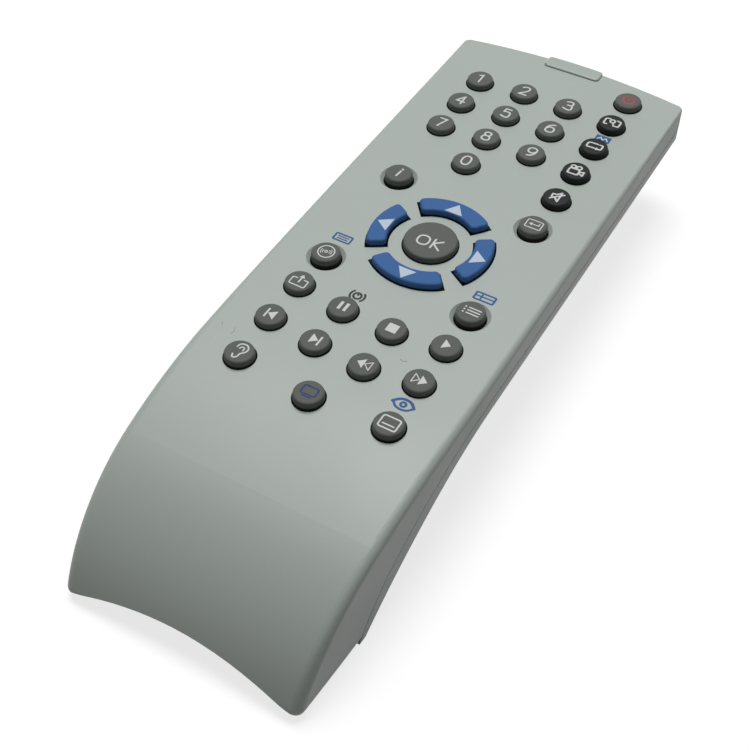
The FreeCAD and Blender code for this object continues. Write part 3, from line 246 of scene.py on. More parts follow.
# %% Scratches and dust
# How many noise cells a metre has, and the range of the noise in which a mask goes from 0 to 1.
STREAKS, STREAK_RANGE = 1700.0, (0.70, 0.76)
PATCHES, PATCH_RANGE = 55.0, (0.52, 0.66)
SPECKS, SPECK_RANGE = 5200.0, (0.66, 0.74)
# The turn of each set of scratches, and how much its noise is stretched.
CROSSING_SETS = ((0.35, 0.03), (-1.1, 0.05))

scratches, source, sink = new_group(
    "hairline_scratches", [("Position", VECTOR, None), ("Amount", NUMBER, 0.2)], ["Mask"])
crossing = []
for turn, stretch in CROSSING_SETS:
    placed = add(scratches, "ShaderNodeMapping", Vector=source.outputs["Position"],
                 Rotation=(0, 0, turn), Scale=(1.0, stretch, 1.0))
    streak = add(scratches, "ShaderNodeTexNoise", Vector=placed.outputs[0], Scale=STREAKS, Detail=1.0)
    crossing.append(ranged(scratches, streak.outputs[0], *STREAK_RANGE).outputs[0])
either = math_node(scratches, "MAXIMUM", *crossing)
patches = add(scratches, "ShaderNodeTexNoise", Vector=source.outputs["Position"], Scale=PATCHES,
              Detail=2.0)
where = ranged(scratches, patches.outputs[0], *PATCH_RANGE)
broken = math_node(scratches, "MULTIPLY", either, where.outputs[0])
worn = math_node(scratches, "MULTIPLY", broken, source.outputs["Amount"])
scratches.links.new(worn, sink.inputs["Mask"])

dust, source, sink = new_group(
    "settled_dust",
    [("Position", VECTOR, None), ("Normal", VECTOR, None), ("Amount", NUMBER, 0.2)], ["Mask"])
specks = add(dust, "ShaderNodeTexNoise", Vector=source.outputs["Position"], Scale=SPECKS, Detail=1.0)
sharp = ranged(dust, specks.outputs[0], *SPECK_RANGE)
split = add(dust, "ShaderNodeSeparateXYZ", Vector=source.outputs["Normal"])
facing_up = math_node(dust, "MULTIPLY", sharp.outputs[0], split.outputs["Z"], clamp=True)
settled = math_node(dust, "MULTIPLY", facing_up, source.outputs["Amount"])
dust.links.new(settled, sink.inputs["Mask"])
print("groups", scratches.name, dust.name)

# %% [markdown]
# ## The arrow signs
# The four arrow signs are printed on keys that stay as the CAD made them, so they are a mask in the
# rubber's colour. One mask serves all four: it folds the plane onto itself about the middle of the
# ring, so that outwards is always the larger of the two distances and sideways the smaller.

# %% The arrow signs as a mask
# All in millimetres: the ring's middle, then the signs' tip and back as distances from it.
ARROW_MIDDLE = (0.12, 9.80)
ARROW_TIP, ARROW_BACK, ARROW_HALF = 12.50, 9.62, 2.0
EDGE_BLUR = 0.06


def arrow_mask():
    """A mask that is 1 inside four triangles that point away from the middle: outwards has to be past
    the back, and sideways less than the half width that is left on the way to the tip."""
    group, source, sink = new_group("arrow_signs", [("Position", VECTOR, None)], ["Mask"])
    split = add(group, "ShaderNodeSeparateXYZ", Vector=source.outputs["Position"])
    across, along = (
        math_node(group, "ABSOLUTE", math_node(group, "SUBTRACT", split.outputs[axis], middle * MM), 0.0)
        for axis, middle in zip(("X", "Y"), ARROW_MIDDLE))
    outwards = math_node(group, "MAXIMUM", across, along)
    sideways = math_node(group, "MINIMUM", across, along)
    past_back = math_node(group, "SUBTRACT", outwards, ARROW_BACK * MM)
    to_tip = math_node(group, "SUBTRACT", ARROW_TIP * MM, outwards)
    room = math_node(group, "MULTIPLY", to_tip, ARROW_HALF / (ARROW_TIP - ARROW_BACK))
    inside = math_node(group, "MINIMUM", past_back, math_node(group, "SUBTRACT", room, sideways))
    edge = math_node(group, "DIVIDE", inside, EDGE_BLUR * MM)
    group.links.new(math_node(group, "ADD", edge, 0.5, clamp=True), sink.inputs["Mask"])
    return group


arrow_signs = arrow_mask()
print("arrow signs from", ARROW_BACK, "to", ARROW_TIP, "mm")

# %% [markdown]
# ## Painted shade at the foot of a key
# A key stands in a narrow gap, where little light gets in. That shade is painted into the rubber's
# colour: it is nearly black at its foot and comes up to its own colour within half a millimetre above
# the casing. A mask from the height alone gives that.

# %% The painted shade at the foot as a mask
# The heights between which shade is painted at a key's foot, and how dark that painted shade is as a
# share of the rubber's colour.
FOOT_LOW, FOOT_HIGH = TOP_Z - 0.05 * MM, TOP_Z + 0.45 * MM
FOOT_PAINTED_SHADE = 0.06


def painted_foot_shade_mask():
    """Painted shade at a key's foot: 1 below FOOT_LOW, 0 above FOOT_HIGH and a smooth step between them.
    """
    group, source, sink = new_group("painted_foot_shade", [("Position", VECTOR, None)], ["Mask"])
    split = add(group, "ShaderNodeSeparateXYZ", Vector=source.outputs["Position"])
    step = ranged(group, split.outputs["Z"], FOOT_LOW, FOOT_HIGH, low=1.0, high=0.0)
    step.interpolation_type = "SMOOTHSTEP"
    group.links.new(step.outputs[0], sink.inputs["Mask"])
    return group


# Painted shade for the foot of every rubber key, used by the rubber finishes.
painted_foot_shade = painted_foot_shade_mask()
print("foot from", round(FOOT_LOW / MM, 2), "to", round(FOOT_HIGH / MM, 2), "mm")

# %% [markdown]
# ## Finishes
# Plastic, rubber and ink differ in colour, gloss and in how much grain and dust they carry, so one
# function builds them all from those few values. Colours are written as they look in an even light and
# turned into the linear values that the shader wants. The grain is a bump, the scratches brighten the
# surface, and the dust dulls it.

# %% One function for every moulded finish
# A Mix node lists its sockets for each kind of data, and these are the colour ones.
MIX_FIRST, MIX_SECOND, MIX_RESULT = 6, 7, 2
SCRATCH_GAIN, SCRATCH_LIFT = 1.5, 0.03


def colour(red, green, blue):
    """An 8 bit display colour as linear light: below 0.04 divide by 12.92, else the 2.4 power curve."""
    values = np.array([red, green, blue]) / 255.0
    linear = np.where(values <= 0.04045, values / 12.92, ((values + 0.055) / 1.055) ** 2.4)
    return (*linear, 1.0)


DUST_COLOUR = colour(196, 196, 190)


def shade(base, gain, lift=0.0):
    """A linear colour times gain plus lift, at most white."""
    return (*np.minimum(np.array(base[:3]) * gain + lift, 1.0), 1.0)


def placed_group(tree, group, **sockets):
    """A copy of a shared group in a material."""
    node = tree.nodes.new("ShaderNodeGroup")
    node.node_tree = group
    for name, value in sockets.items():
        give(tree, node.inputs[name.replace("_", " ")], value)
    return node


def blend_colours(tree, mask, first, second):
    """first where mask is 0, second where it is 1."""
    node = tree.nodes.new("ShaderNodeMix")
    node.data_type = "RGBA"
    tree.links.new(mask, node.inputs["Factor"])
    give(tree, node.inputs[MIX_FIRST], first)
    give(tree, node.inputs[MIX_SECOND], second)
    return node.outputs[MIX_RESULT]


def moulded(name, base, mottle=0.05, roughness=0.5, rough_range=0.08, grains=3000.0, bump=0.01,
            scratch=0.15, dusty=0.1, specular=0.5, coat=0.0, coat_roughness=0.2, sign=None, foot=False):
    """A moulded plastic, rubber or ink: an even colour that varies by mottle, with grain, hairline
    scratches and dust. bump is the grain's depth in millimetres. sign is a mask group and the colour
    that is printed where it gives 1. The foot option paints shade into the colour, darker towards the
    gap in the casing."""
    material, tree, output = new_material(name)
    place = tree.nodes.new("ShaderNodeTexCoord")
    shader = tree.nodes.new("ShaderNodeBsdfPrincipled")
    position = place.outputs["Object"]
    grained = placed_group(tree, grain, Position=position, Grains_per_metre=grains)
    scratched = placed_group(tree, scratches, Position=position, Amount=scratch)
    dusted = placed_group(tree, dust, Position=position, Normal=place.outputs["Normal"], Amount=dusty)
    mottled = grained.outputs["Mottle"]
    body = blend_colours(tree, mottled, shade(base, 1 - mottle), shade(base, 1 + mottle))
    if sign:
        printed_part = placed_group(tree, sign[0], Position=position)
        body = blend_colours(tree, printed_part.outputs["Mask"], body, sign[1])
    # Painted shade: towards the gap at a key's foot the colour falls to nearly black.
    if foot:
        shaded = placed_group(tree, painted_foot_shade, Position=position)
        body = blend_colours(tree, shaded.outputs["Mask"], body, shade(base, FOOT_PAINTED_SHADE))
    body = blend_colours(tree, scratched.outputs["Mask"], body, shade(base, SCRATCH_GAIN, SCRATCH_LIFT))
    body = blend_colours(tree, dusted.outputs["Mask"], body, DUST_COLOUR)
    tree.links.new(body, shader.inputs["Base Color"])
    varied = ranged(tree, mottled, low=roughness - rough_range, high=roughness + rough_range)
    tree.links.new(varied.outputs[0], shader.inputs["Roughness"])
    shader.inputs["Specular IOR Level"].default_value = specular
    shader.inputs["Coat Weight"].default_value = coat
    shader.inputs["Coat Roughness"].default_value = coat_roughness
    bumped = add(tree, "ShaderNodeBump", Height=grained.outputs["Height"], Strength=1.0,
                 Distance=bump * MM)
    tree.links.new(bumped.outputs[0], shader.inputs["Normal"])
    tree.links.new(shader.outputs[0], output.inputs["Surface"])
    return material


print("dust", [round(v, 2) for v in DUST_COLOUR[:3]])

# %% [markdown]
# ## Plastic, rubber and ink
# The casing is a pale grey-green plastic with a fine grain. The keys are soft rubber, which hardly
# shines. Ink lies on both as a thin film that is smoother than what it covers.

# %% Casing, rubbers and inks
def soft_rubber(name, base, mottle, roughness, scratch, dusty, sign=None):
    """Soft moulded rubber: a fine grain, hardly any shine, and shade painted at its foot."""
    return moulded(name, base, mottle=mottle, roughness=roughness, grains=5200.0, bump=0.008,
                   scratch=scratch, dusty=dusty, specular=0.15, sign=sign, foot=True)


def ink(name, base, mottle=0.04, roughness=0.5, specular=0.5):
    """A printed film, finer grained than the plastic below it, without scratches or dust."""
    return moulded(name, base, mottle=mottle, roughness=roughness, grains=6000.0, bump=0.003,
                   scratch=0.0, dusty=0.0, specular=specular)


FINISH = {
    "casing": moulded("casing_plastic", colour(178, 187, 181), mottle=0.025, roughness=0.46,
                      grains=2600.0, bump=0.006, scratch=0.10, dusty=0.06),
    "window": moulded("window_plastic", colour(178, 188, 181), mottle=0.02, roughness=0.30,
                      grains=2600.0, bump=0.002, scratch=0.15, dusty=0.05),
    "grey_rubber": soft_rubber("grey_rubber", colour(102, 106, 102), mottle=0.05, roughness=0.60,
                               scratch=0.05, dusty=0.05),
    "black_rubber": soft_rubber("black_rubber", colour(27, 32, 31), mottle=0.06, roughness=0.55,
                                scratch=0.05, dusty=0.02),
    "blue_rubber": soft_rubber("blue_rubber", colour(66, 109, 168), mottle=0.04, roughness=0.58,
                               scratch=0.04, dusty=0.03, sign=(arrow_signs, colour(208, 221, 236))),
    "white_ink": ink("white_ink", colour(216, 220, 217), mottle=0.03),
    "blue_ink": ink("blue_ink", colour(56, 96, 152), specular=0.2),
    "deep_blue_ink": ink("deep_blue_ink", colour(36, 58, 108), specular=0.2),
    "dark_ink": ink("dark_ink", colour(34, 40, 42), specular=0.2),
    "red_ink": ink("red_ink", colour(152, 52, 58), mottle=0.05),
    "scuff": ink("scuff", colour(140, 146, 132), mottle=0.1, roughness=0.6),
}
print("finishes of the outside", len(FINISH))

# %% [markdown]
# ## The parts inside
# Behind the keys lie a silicone mat and a green circuit board with its parts. They show only when the
# handset is taken apart, but each still has the finish of its own material.

# %% Finishes of the parts inside
FINISH.update({
    "silicone": moulded("silicone_mat", colour(150, 152, 150), mottle=0.04, roughness=0.6,
                        scratch=0.0),
    "board": moulded("board_laminate", colour(44, 98, 58), mottle=0.15, roughness=0.35, grains=1200.0,
                     scratch=0.1),
    "resin": moulded("chip_resin", colour(34, 34, 36), mottle=0.1, roughness=0.6, grains=4000.0,
                     scratch=0.1),
    "ceramic": moulded("resonator_ceramic", colour(176, 112, 52), mottle=0.1, roughness=0.4,
                       scratch=0.1),
    "jacket": moulded("cell_jacket", colour(58, 62, 66), mottle=0.06, roughness=0.3, grains=2000.0,
                      bump=0.003, scratch=0.6, dusty=0.05),
    "lens": moulded("emitter_resin", colour(40, 48, 86), roughness=0.12, grains=800.0, bump=0.0,
                    scratch=0.0, dusty=0.02, coat=0.6, coat_roughness=0.05),
})
print("finishes with the inside", len(FINISH))

# %% [markdown]
# ## Metals
# Contacts, screws and the capacitor's can are bare metal. Drawing and plating leave a grain along one
# direction, so a noise that is stretched along Y varies the colour, the roughness and a slight bump.

# %% Metals
# How the lines of the grain change the metal: colour, roughness at least and at most, and depth.
GRAIN_SHADE = 0.82
LEAST_ROUGH, MOST_ROUGH = 0.7, 1.3
GRAIN_DEPTH = 0.005 * MM


def metal(name, base, roughness, grains, stretch):
    """A bare metal with a drawn or plated grain."""
    material, tree, output = new_material(name)
    place = tree.nodes.new("ShaderNodeTexCoord")
    shader = tree.nodes.new("ShaderNodeBsdfPrincipled")
    shader.inputs["Metallic"].default_value = 1.0
    placed = add(tree, "ShaderNodeMapping", Vector=place.outputs["Object"], Scale=(1.0, stretch, 1.0))
    lines = add(tree, "ShaderNodeTexNoise", Vector=placed.outputs[0], Scale=grains, Detail=3.0)
    mixed = blend_colours(tree, lines.outputs[0], shade(base, GRAIN_SHADE), base)
    tree.links.new(mixed, shader.inputs["Base Color"])
    varied = ranged(tree, lines.outputs[0], low=roughness * LEAST_ROUGH, high=roughness * MOST_ROUGH)
    tree.links.new(varied.outputs[0], shader.inputs["Roughness"])
    bumped = add(tree, "ShaderNodeBump", Height=lines.outputs[0], Strength=0.5, Distance=GRAIN_DEPTH)
    tree.links.new(bumped.outputs[0], shader.inputs["Normal"])
    tree.links.new(shader.outputs[0], output.inputs["Surface"])
    return material


FINISH["nickel"] = metal("nickel_plate", colour(206, 204, 196), roughness=0.28, grains=3000.0,
                         stretch=0.2)
FINISH["zinc"] = metal("zinc_plate", colour(160, 162, 166), roughness=0.38, grains=4000.0, stretch=0.5)
FINISH["can"] = metal("drawn_aluminium", colour(214, 214, 218), roughness=0.25, grains=3000.0,
                      stretch=0.1)
print("finishes with the metals", len(FINISH))

# %% [markdown]
# ## Painting the solids
# Every CAD solid but the round keys keeps its own mesh and only gets a finish. The table below says
# which, by the solid's name.

# %% Paint the solids
NODE_FINISH = {
    "upper_casing": "casing", "lower_casing": "casing", "battery_cover": "casing", "ir_window": "window",
    "keypad_mat": "silicone", "circuit_board": "board", "controller_chip": "resin",
    "transistor": "resin", "resistors": "resin", "capacitor": "can", "resonator": "ceramic",
    "ir_emitters": "lens", "battery_left": "jacket", "battery_right": "jacket",
    "link_contact": "nickel", "plate_contact": "nickel", "spring_contact": "nickel",
    "casing_screws": "zinc", "key_up": "blue_rubber", "key_down": "blue_rubber",
    "key_left": "blue_rubber", "key_right": "blue_rubber",
}


def paint(piece, finish):
    """Gives every face of a piece one finish."""
    piece.data.materials.clear()
    piece.data.materials.append(FINISH[finish])


for node, finish in NODE_FINISH.items():
    paint(NODES[node], finish)
print("painted", len(NODE_FINISH), "solids")

# %% [markdown]
# ## Closed surfaces from rows of points
# Most small pieces here are tubes in the wide sense: rows of points, one behind the other, each row a
# closed loop. A turned key is one, with circles for rows. A stroke of ink is one, with flat
# rectangles for rows. So one function joins rows into faces, closes the two ends with a pole each and
# turns the faces outwards. Whether they point outwards shows in the enclosed volume, which is
# positive only then.

# %% Rows of points to faces that point outwards
def row_faces(rows, segments, closed):
    """The faces between neighbouring rows of a grid whose points are numbered row by row, as an array
    of quads and one of triangles. Where the rows close on themselves the last row joins the first,
    else each end gets a fan of triangles round a pole."""
    step = np.arange(segments)
    following = (step + 1) % segments
    first = np.arange(rows if closed else rows - 1)[:, None] * segments
    second = (first + segments) % (rows * segments)
    quads = np.stack([first + step, first + following, second + following, second + step], axis=2)
    if closed:
        return quads.reshape(-1, 4), np.empty((0, 3), int)
    last = (rows - 1) * segments
    start = np.full(segments, rows * segments)
    fans = np.concatenate([np.stack([start, following, step], axis=1),
                           np.stack([start + 1, last + step, last + following], axis=1)])
    return quads.reshape(-1, 4), fans


def volume(points, quads, fans):
    """Enclosed volume: a sixth of the sum, over the faces' triangles, of the first corner times the
    cross product of the other two."""
    corners = np.concatenate([quads[:, [0, 1, 2]], quads[:, [0, 2, 3]], fans])
    a, b, c = np.moveaxis(points[corners], 1, 0)
    return float((a * np.cross(b, c)).sum() / 6)


def tube(grid, closed=False):
    """Points, outward quads and outward triangles of rows of points, given as an array of rows, places
    and coordinates. The poles are the middles of the end rows."""
    rows, segments = grid.shape[:2]
    points = grid.reshape(-1, 3)
    if not closed:
        points = np.concatenate([points, grid[[0, -1]].mean(1)])
    quads, fans = row_faces(rows, segments, closed)
    if volume(points - points.mean(0), quads, fans) < 0:
        quads, fans = quads[:, ::-1], fans[:, ::-1]
    return points, quads, fans


# A unit cube checks them: two square rows, one above the other.
square = np.array([(0, 0), (1, 0), (1, 1), (0, 1)])
cube = tube(np.stack([np.insert(square, 2, level, axis=1) for level in (0.0, 1.0)]))
print("unit cube", len(cube[1]), "quads", len(cube[2]), "triangles, volume", round(volume(*cube), 3))

# %% [markdown]
# ## From arrays to a piece
# A finished piece is one mesh in one object that sits at the origin, so that a pattern on Object
# coordinates runs on from piece to piece. A sign has several shells, one for each stroke, so their
# faces are numbered on from shell to shell.

# %% One object from one or more shells
def mesh_piece(name, shells, finish, smooth=True):
    """An object at the origin from one or more shells, each of points, quads and triangles."""
    faces, start = [], 0
    for points, quads, fans in shells:
        faces += (quads + start).tolist() + (fans + start).tolist()
        start += len(points)
    mesh = bpy.data.meshes.new(name)
    mesh.from_pydata(np.concatenate([shell[0] for shell in shells]).tolist(), [], faces)
    mesh.update()
    if smooth:
        mesh.shade_smooth()
    piece = bpy.data.objects.new(name, mesh)
    bpy.context.scene.collection.objects.link(piece)
    paint(piece, finish)
    return piece


print("pieces can be made in", len(FINISH), "finishes")

# %% [markdown]
# ## Round keys
# Each rubber key is turned about its own axis: a contact stem, the flange that keeps it in the casing, a
# cap that draws in a little, a soft shoulder and a barely domed top. A lathe surface suits it: a
# profile of radius and height is carried once round the axis. Two points close together at a corner
# of the profile keep stem and flange crisp under smooth shading.

# %% The profile of a round key
# CORNER is the small slope at each crisp corner, and LEAN the first bit of the cap's taper. The ring of
# points next to a pole has POLE_SHARE of the full size.
INK = 0.010 * MM
SHOULDER, SHOULDER_STEPS = 0.50 * MM, 14
DOME, CROWN_STEPS = 0.08 * MM, 10
TAPER = 0.08 * MM
CORNER, LEAN = 0.05 * MM, 0.01 * MM
STEM_RADIUS, STEM_LENGTH = 1.5 * MM, 1.0 * MM
STEM_MIDDLE = 0.1 * STEM_RADIUS
FLANGE_THICKNESS = 0.7 * MM
POLE_SHARE = 0.02
cap_top = KEY_TOP - 2 * INK


def crown_height(distance, flat):
    """Height of a key's top: it falls from the middle with the square of the distance."""
    return cap_top - DOME * np.minimum(distance / flat, 1.0) ** 2


def key_profile(base_radius, flange_radius, low_z):
    """Radius and height along a key: stem, flange, a cap that tapers, a quarter of an ellipse for the
    shoulder, and the crown."""
    rim = base_radius - TAPER
    flat = rim - SHOULDER
    flange_low = low_z + STEM_LENGTH
    flange_high = flange_low + FLANGE_THICKNESS
    turn = np.linspace(0, np.pi / 2, SHOULDER_STEPS)
    shoulder = np.stack([rim - SHOULDER * (1 - np.cos(turn)),
                         cap_top - DOME - SHOULDER * (1 - np.sin(turn))], axis=1)
    inward = flat * np.linspace(1, POLE_SHARE, CROWN_STEPS)[1:]
    crown = np.stack([inward, crown_height(inward, flat)], axis=1)
    lower = np.array([
        (STEM_MIDDLE, low_z), (STEM_RADIUS - CORNER, low_z), (STEM_RADIUS, low_z + CORNER),
        (STEM_RADIUS, flange_low - CORNER), (STEM_RADIUS + CORNER, flange_low),
        (flange_radius - CORNER, flange_low), (flange_radius, flange_low + CORNER),
        (flange_radius, flange_high - CORNER), (flange_radius - CORNER, flange_high),
        (base_radius + CORNER, flange_high), (base_radius, flange_high + CORNER),
        (base_radius, TOP_Z - CORNER), (base_radius - LEAN, TOP_Z + CORNER),
    ])
    return np.concatenate([lower, shoulder, crown])


print("cap top", round(cap_top / MM, 2), "mm, shoulder", round(SHOULDER / MM, 2), "mm")

# %% [markdown]
# ## Turning the keys
# The size and place of each key come from its CAD solid's box, so the caps stay right when the model
# changes. The turned key takes the place of the plain solid and rides on the key's body.

# %% Turn the round keys
SEGMENTS = 96
FLANGE_REACH = 0.78 * MM
BLACK_KEYS = ("key_zoom", "key_repeat", "key_angle", "key_mute")


def turned(profile, centre):
    """The shell of a profile turned about the upright axis through centre. A point is the profile's
    radius times the cosine and sine of its angle, at the profile's height."""
    angle = np.linspace(0, 2 * np.pi, SEGMENTS, endpoint=False)
    circle = np.stack([np.cos(angle), np.sin(angle), np.zeros(SEGMENTS)], axis=1)
    grid = profile[:, None, :1] * circle[None] + np.array([centre[0], centre[1], 0.0])
    grid[:, :, 2] = profile[:, 1:]
    return tube(grid)


round_keys = sorted(n for n in NODES if n.startswith("key_") and n not in NODE_FINISH)
KEY_CENTRE, KEY_FLAT = {}, {}
for node in round_keys:
    low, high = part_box(node)
    centre = ((low.x + high.x) / 2, (low.y + high.y) / 2)
    flange = (high.x - low.x) / 2
    base = flange - FLANGE_REACH
    KEY_CENTRE[node] = np.array(centre)
    KEY_FLAT[node] = base - TAPER - SHOULDER
    rubber = "black" if node in BLACK_KEYS else "grey"
    piece = mesh_piece(node + "_cap", [turned(key_profile(base, flange, low.z), centre)],
                       rubber + "_rubber")
    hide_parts(node)
    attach(piece, node + "_body")
print("round keys", len(round_keys), "last radius", round(base / MM, 2))

# %% [markdown]
# ## Ink
# The signs are printed: a film of ink about a hundredth of a millimetre thick, in strokes of an even
# width, as from a pen. So they are drawn that way. A pen path is a chain of corners, each softened into a
# parabola, and long stretches get points in between, so that a stroke can follow the dome of a key.

# %% Pen paths
# Points on each parabola, and the millimetres below which two points count as one.
BEND_STEPS = 7
SAME_PLACE = 1e-4


def pen_path(corners, softness=1.0, closed=False):
    """A path through corners. At each corner the path leaves the straight line at a share of half the
    distance to the neighbour, and a parabola (start, corner, end, weighted by the squares and the
    double product of the way left and the way gone) leads round it. Points that fall together are
    left out."""
    corners = np.array(corners, float)
    start = corners + (np.roll(corners, 1, 0) - corners) * softness / 2
    end = corners + (np.roll(corners, -1, 0) - corners) * softness / 2
    gone = np.linspace(0, 1, BEND_STEPS)[None, :, None]
    left = 1 - gone
    bends = start[:, None] * left ** 2 + corners[:, None] * 2 * gone * left + end[:, None] * gone ** 2
    if closed:
        path = bends.reshape(-1, 2)
    else:
        path = np.concatenate([corners[:1], bends[1:-1].reshape(-1, 2), corners[-1:]])
    apart = np.linalg.norm(path - np.roll(path, 1, 0), axis=1) > SAME_PLACE
    apart[0] |= not closed
    return path[apart]


def finer(path, closed, longest):
    """The same path, each of its lines cut into the fewest equal steps that are no longer than
    longest."""
    start, end = (path, np.roll(path, -1, 0)) if closed else (path[:-1], path[1:])
    steps = np.ceil(np.linalg.norm(end - start, axis=1) / longest).astype(int)
    line_of = np.repeat(np.arange(len(steps)), steps)
    gone = (np.arange(len(line_of)) - (np.cumsum(steps) - steps)[line_of]) / steps[line_of]
    points = start[line_of] + (end - start)[line_of] * gone[:, None]
    return points if closed else np.concatenate([points, path[-1:]])


bent = pen_path([(0, 0), (1, 0), (1, 1)])
print("a bent path of", len(bent), "points, made finer", len(finer(bent, False, 0.1)))

# %% [markdown]
# ## Strokes and filled shapes
# A stroke is a flat ribbon carried along its path. A filled shape is made of rings that shrink to the
# middle of their outline. Both are draped on the surface below by asking it for its height, so that
# the film follows the slight dome of a key.

# %% Shells of ink
# END_TURN is the angle, in radians, at which a rounded end stops short of its tip. LEAST_COSINE keeps
# a ribbon from growing too wide at a sharp bend.
LONGEST_LINE = 0.25 * MM
END_TURN, END_STEPS = 1.4, 6
LEAST_COSINE = 0.6
FILL_RINGS = 9
LAYER_LIFT = 0.04
TOP, UNDERSIDE = 1, -1


def unit(vectors):
    """Vectors of length 1 the same way: each divided by its length."""
    return vectors / np.linalg.norm(vectors, axis=-1, keepdims=True)


def on_surface(plan, face, height, layer):
    """Gives flat points their height: face says whether they are on the top of the film or on its
    hidden underside, and a later layer lies a touch higher, so that crossing strokes don't share a
    face."""
    z = height(plan) + np.broadcast_to(face, plan.shape[:2]) * INK * (1 + LAYER_LIFT * layer)
    return np.concatenate([plan, z[:, :, None]], axis=2)


def stroke_shell(path, width, closed, height, layer):
    """A flat ribbon along a path of points in metres. Each point moves half the width to both sides,
    and more at a bend, by one over the cosine of half the turn. Free ends are rounded by a few more
    points over the last half width, where the ribbon narrows as a quarter circle."""
    path = finer(path, closed, LONGEST_LINE)
    half = np.full(len(path), width / 2)
    if not closed:
        turn = np.linspace(0, END_TURN, END_STEPS)[1:, None]
        first, last = unit(path[0] - path[1]), unit(path[-1] - path[-2])
        path = np.concatenate([(path[0] + first * np.sin(turn) * width / 2)[::-1], path,
                               path[-1] + last * np.sin(turn) * width / 2])
        cap = np.cos(turn[:, 0]) * width / 2
        half = np.concatenate([cap[::-1], half, cap])
    ahead = unit(np.roll(path, -1, 0) - path)
    behind = np.roll(ahead, 1, 0)
    if not closed:
        ahead[-1], behind[0] = behind[-1], ahead[0]
    way = unit(ahead + behind)
    mitre = half / np.maximum((way * ahead).sum(1), LEAST_COSINE)
    side = np.stack([-way[:, 1], way[:, 0]], axis=1) * mitre[:, None]
    plan = np.stack([path - side, path + side, path + side, path - side], axis=1)
    face = np.array([TOP, TOP, UNDERSIDE, UNDERSIDE])
    return tube(on_surface(plan, face, height, layer), closed)


def fill_shell(outline, height, layer):
    """A filled shape: its outline, shrunk step by step to its middle, once as underside and once as
    top."""
    middle = outline.mean(0)
    size = np.linspace(POLE_SHARE, 1, FILL_RINGS)
    plan = middle + (outline - middle)[None] * np.concatenate([size, size[::-1]])[:, None, None]
    face = np.repeat([UNDERSIDE, TOP], FILL_RINGS)[:, None]
    return tube(on_surface(plan, face, height, layer))


print("ink film", round(INK / MM, 3), "mm")

# %% [markdown]
# ## Marks
# A sign is a list of marks in millimetres about its own middle: strokes with a pen of some width, and
# filled shapes. Each helper here gives one mark, as its kind, its points, whether it closes on itself
# and the pen's width, where None stands for the usual pen.

# %% Strokes, boxes, circles and arrow heads
# Points on a straight side of a filled shape, round a disc and round a ring.
SIDE_STEPS, DISC_STEPS, RING_STEPS = 8, 24, 32


def line(*corners, softness=0.0, closed=False, width=None):
    """A pen stroke through corners."""
    return ("stroke", pen_path(corners, softness, closed), closed, width)


def solid(*corners):
    """A filled shape with straight sides, each with a few points on it."""
    corners = np.array(corners, float)
    gone = np.linspace(0, 1, SIDE_STEPS, endpoint=False)[None, :, None]
    outline = corners[:, None] * (1 - gone) + np.roll(corners, -1, 0)[:, None] * gone
    return ("fill", outline.reshape(-1, 2), True, None)


def bar(x, half_width, half_height):
    """A filled upright bar whose middle is x to the right."""
    return solid((x - half_width, -half_height), (x + half_width, -half_height),
                 (x + half_width, half_height), (x - half_width, half_height))


def arrow_head(tip, length, half):
    """A filled arrow head that points along X: its tip, its length, which is negative for one that
    points back, and half its width."""
    return solid(tip, (tip[0] - length, tip[1] + half), (tip[0] - length, tip[1] - half))


def loop(width, height, softness=1.0, middle=(0.0, 0.0), pen=None):
    """A closed stroke in a box: an oval at softness 1, a box with tight corners near 0."""
    x, y = width / 2, height / 2
    corners = np.array([(-x, -y), (x, -y), (x, y), (-x, y)]) + middle
    return ("stroke", pen_path(corners, softness, True), True, pen)


def around(angle, radius, middle):
    """Points on a circle: the radius times the cosine and sine of each angle, about a middle."""
    return np.stack([np.cos(angle), np.sin(angle)], 1) * radius + middle


def disc(radius, middle=(0.0, 0.0)):
    """A filled circle."""
    angle = np.linspace(0, 2 * np.pi, DISC_STEPS, endpoint=False)
    return ("fill", around(angle, radius, middle), True, None)


def ring(radius, middle=(0.0, 0.0), pen=None, start=0.0, end=360.0):
    """A stroke along a circle, or along a part of it between two angles in degrees."""
    whole = end - start >= 360
    angle = np.radians(np.linspace(start, end, RING_STEPS + 1))[:RING_STEPS if whole else None]
    return ("stroke", around(angle, radius, middle), whole, pen)


def turned_sign(marks, degrees):
    """Marks turned about their middle."""
    turn = math.radians(degrees)
    spin = np.array([[math.cos(turn), math.sin(turn)], [-math.sin(turn), math.cos(turn)]])
    return [(kind, path @ spin, closed, width) for kind, path, closed, width in marks]


def scaled(marks, factor):
    """Marks made larger or smaller about their middle, with the same pen."""
    return [(kind, path * factor, closed, width) for kind, path, closed, width in marks]


print("a ring of", RING_STEPS, "points, a disc of", DISC_STEPS)

# %% [markdown]
# ## Numbers
# Each number comes from a few corners in a box that is about 1.3 wide and 2 high, softened into curves
# where the printed one is round. The nine is the six turned upside down.

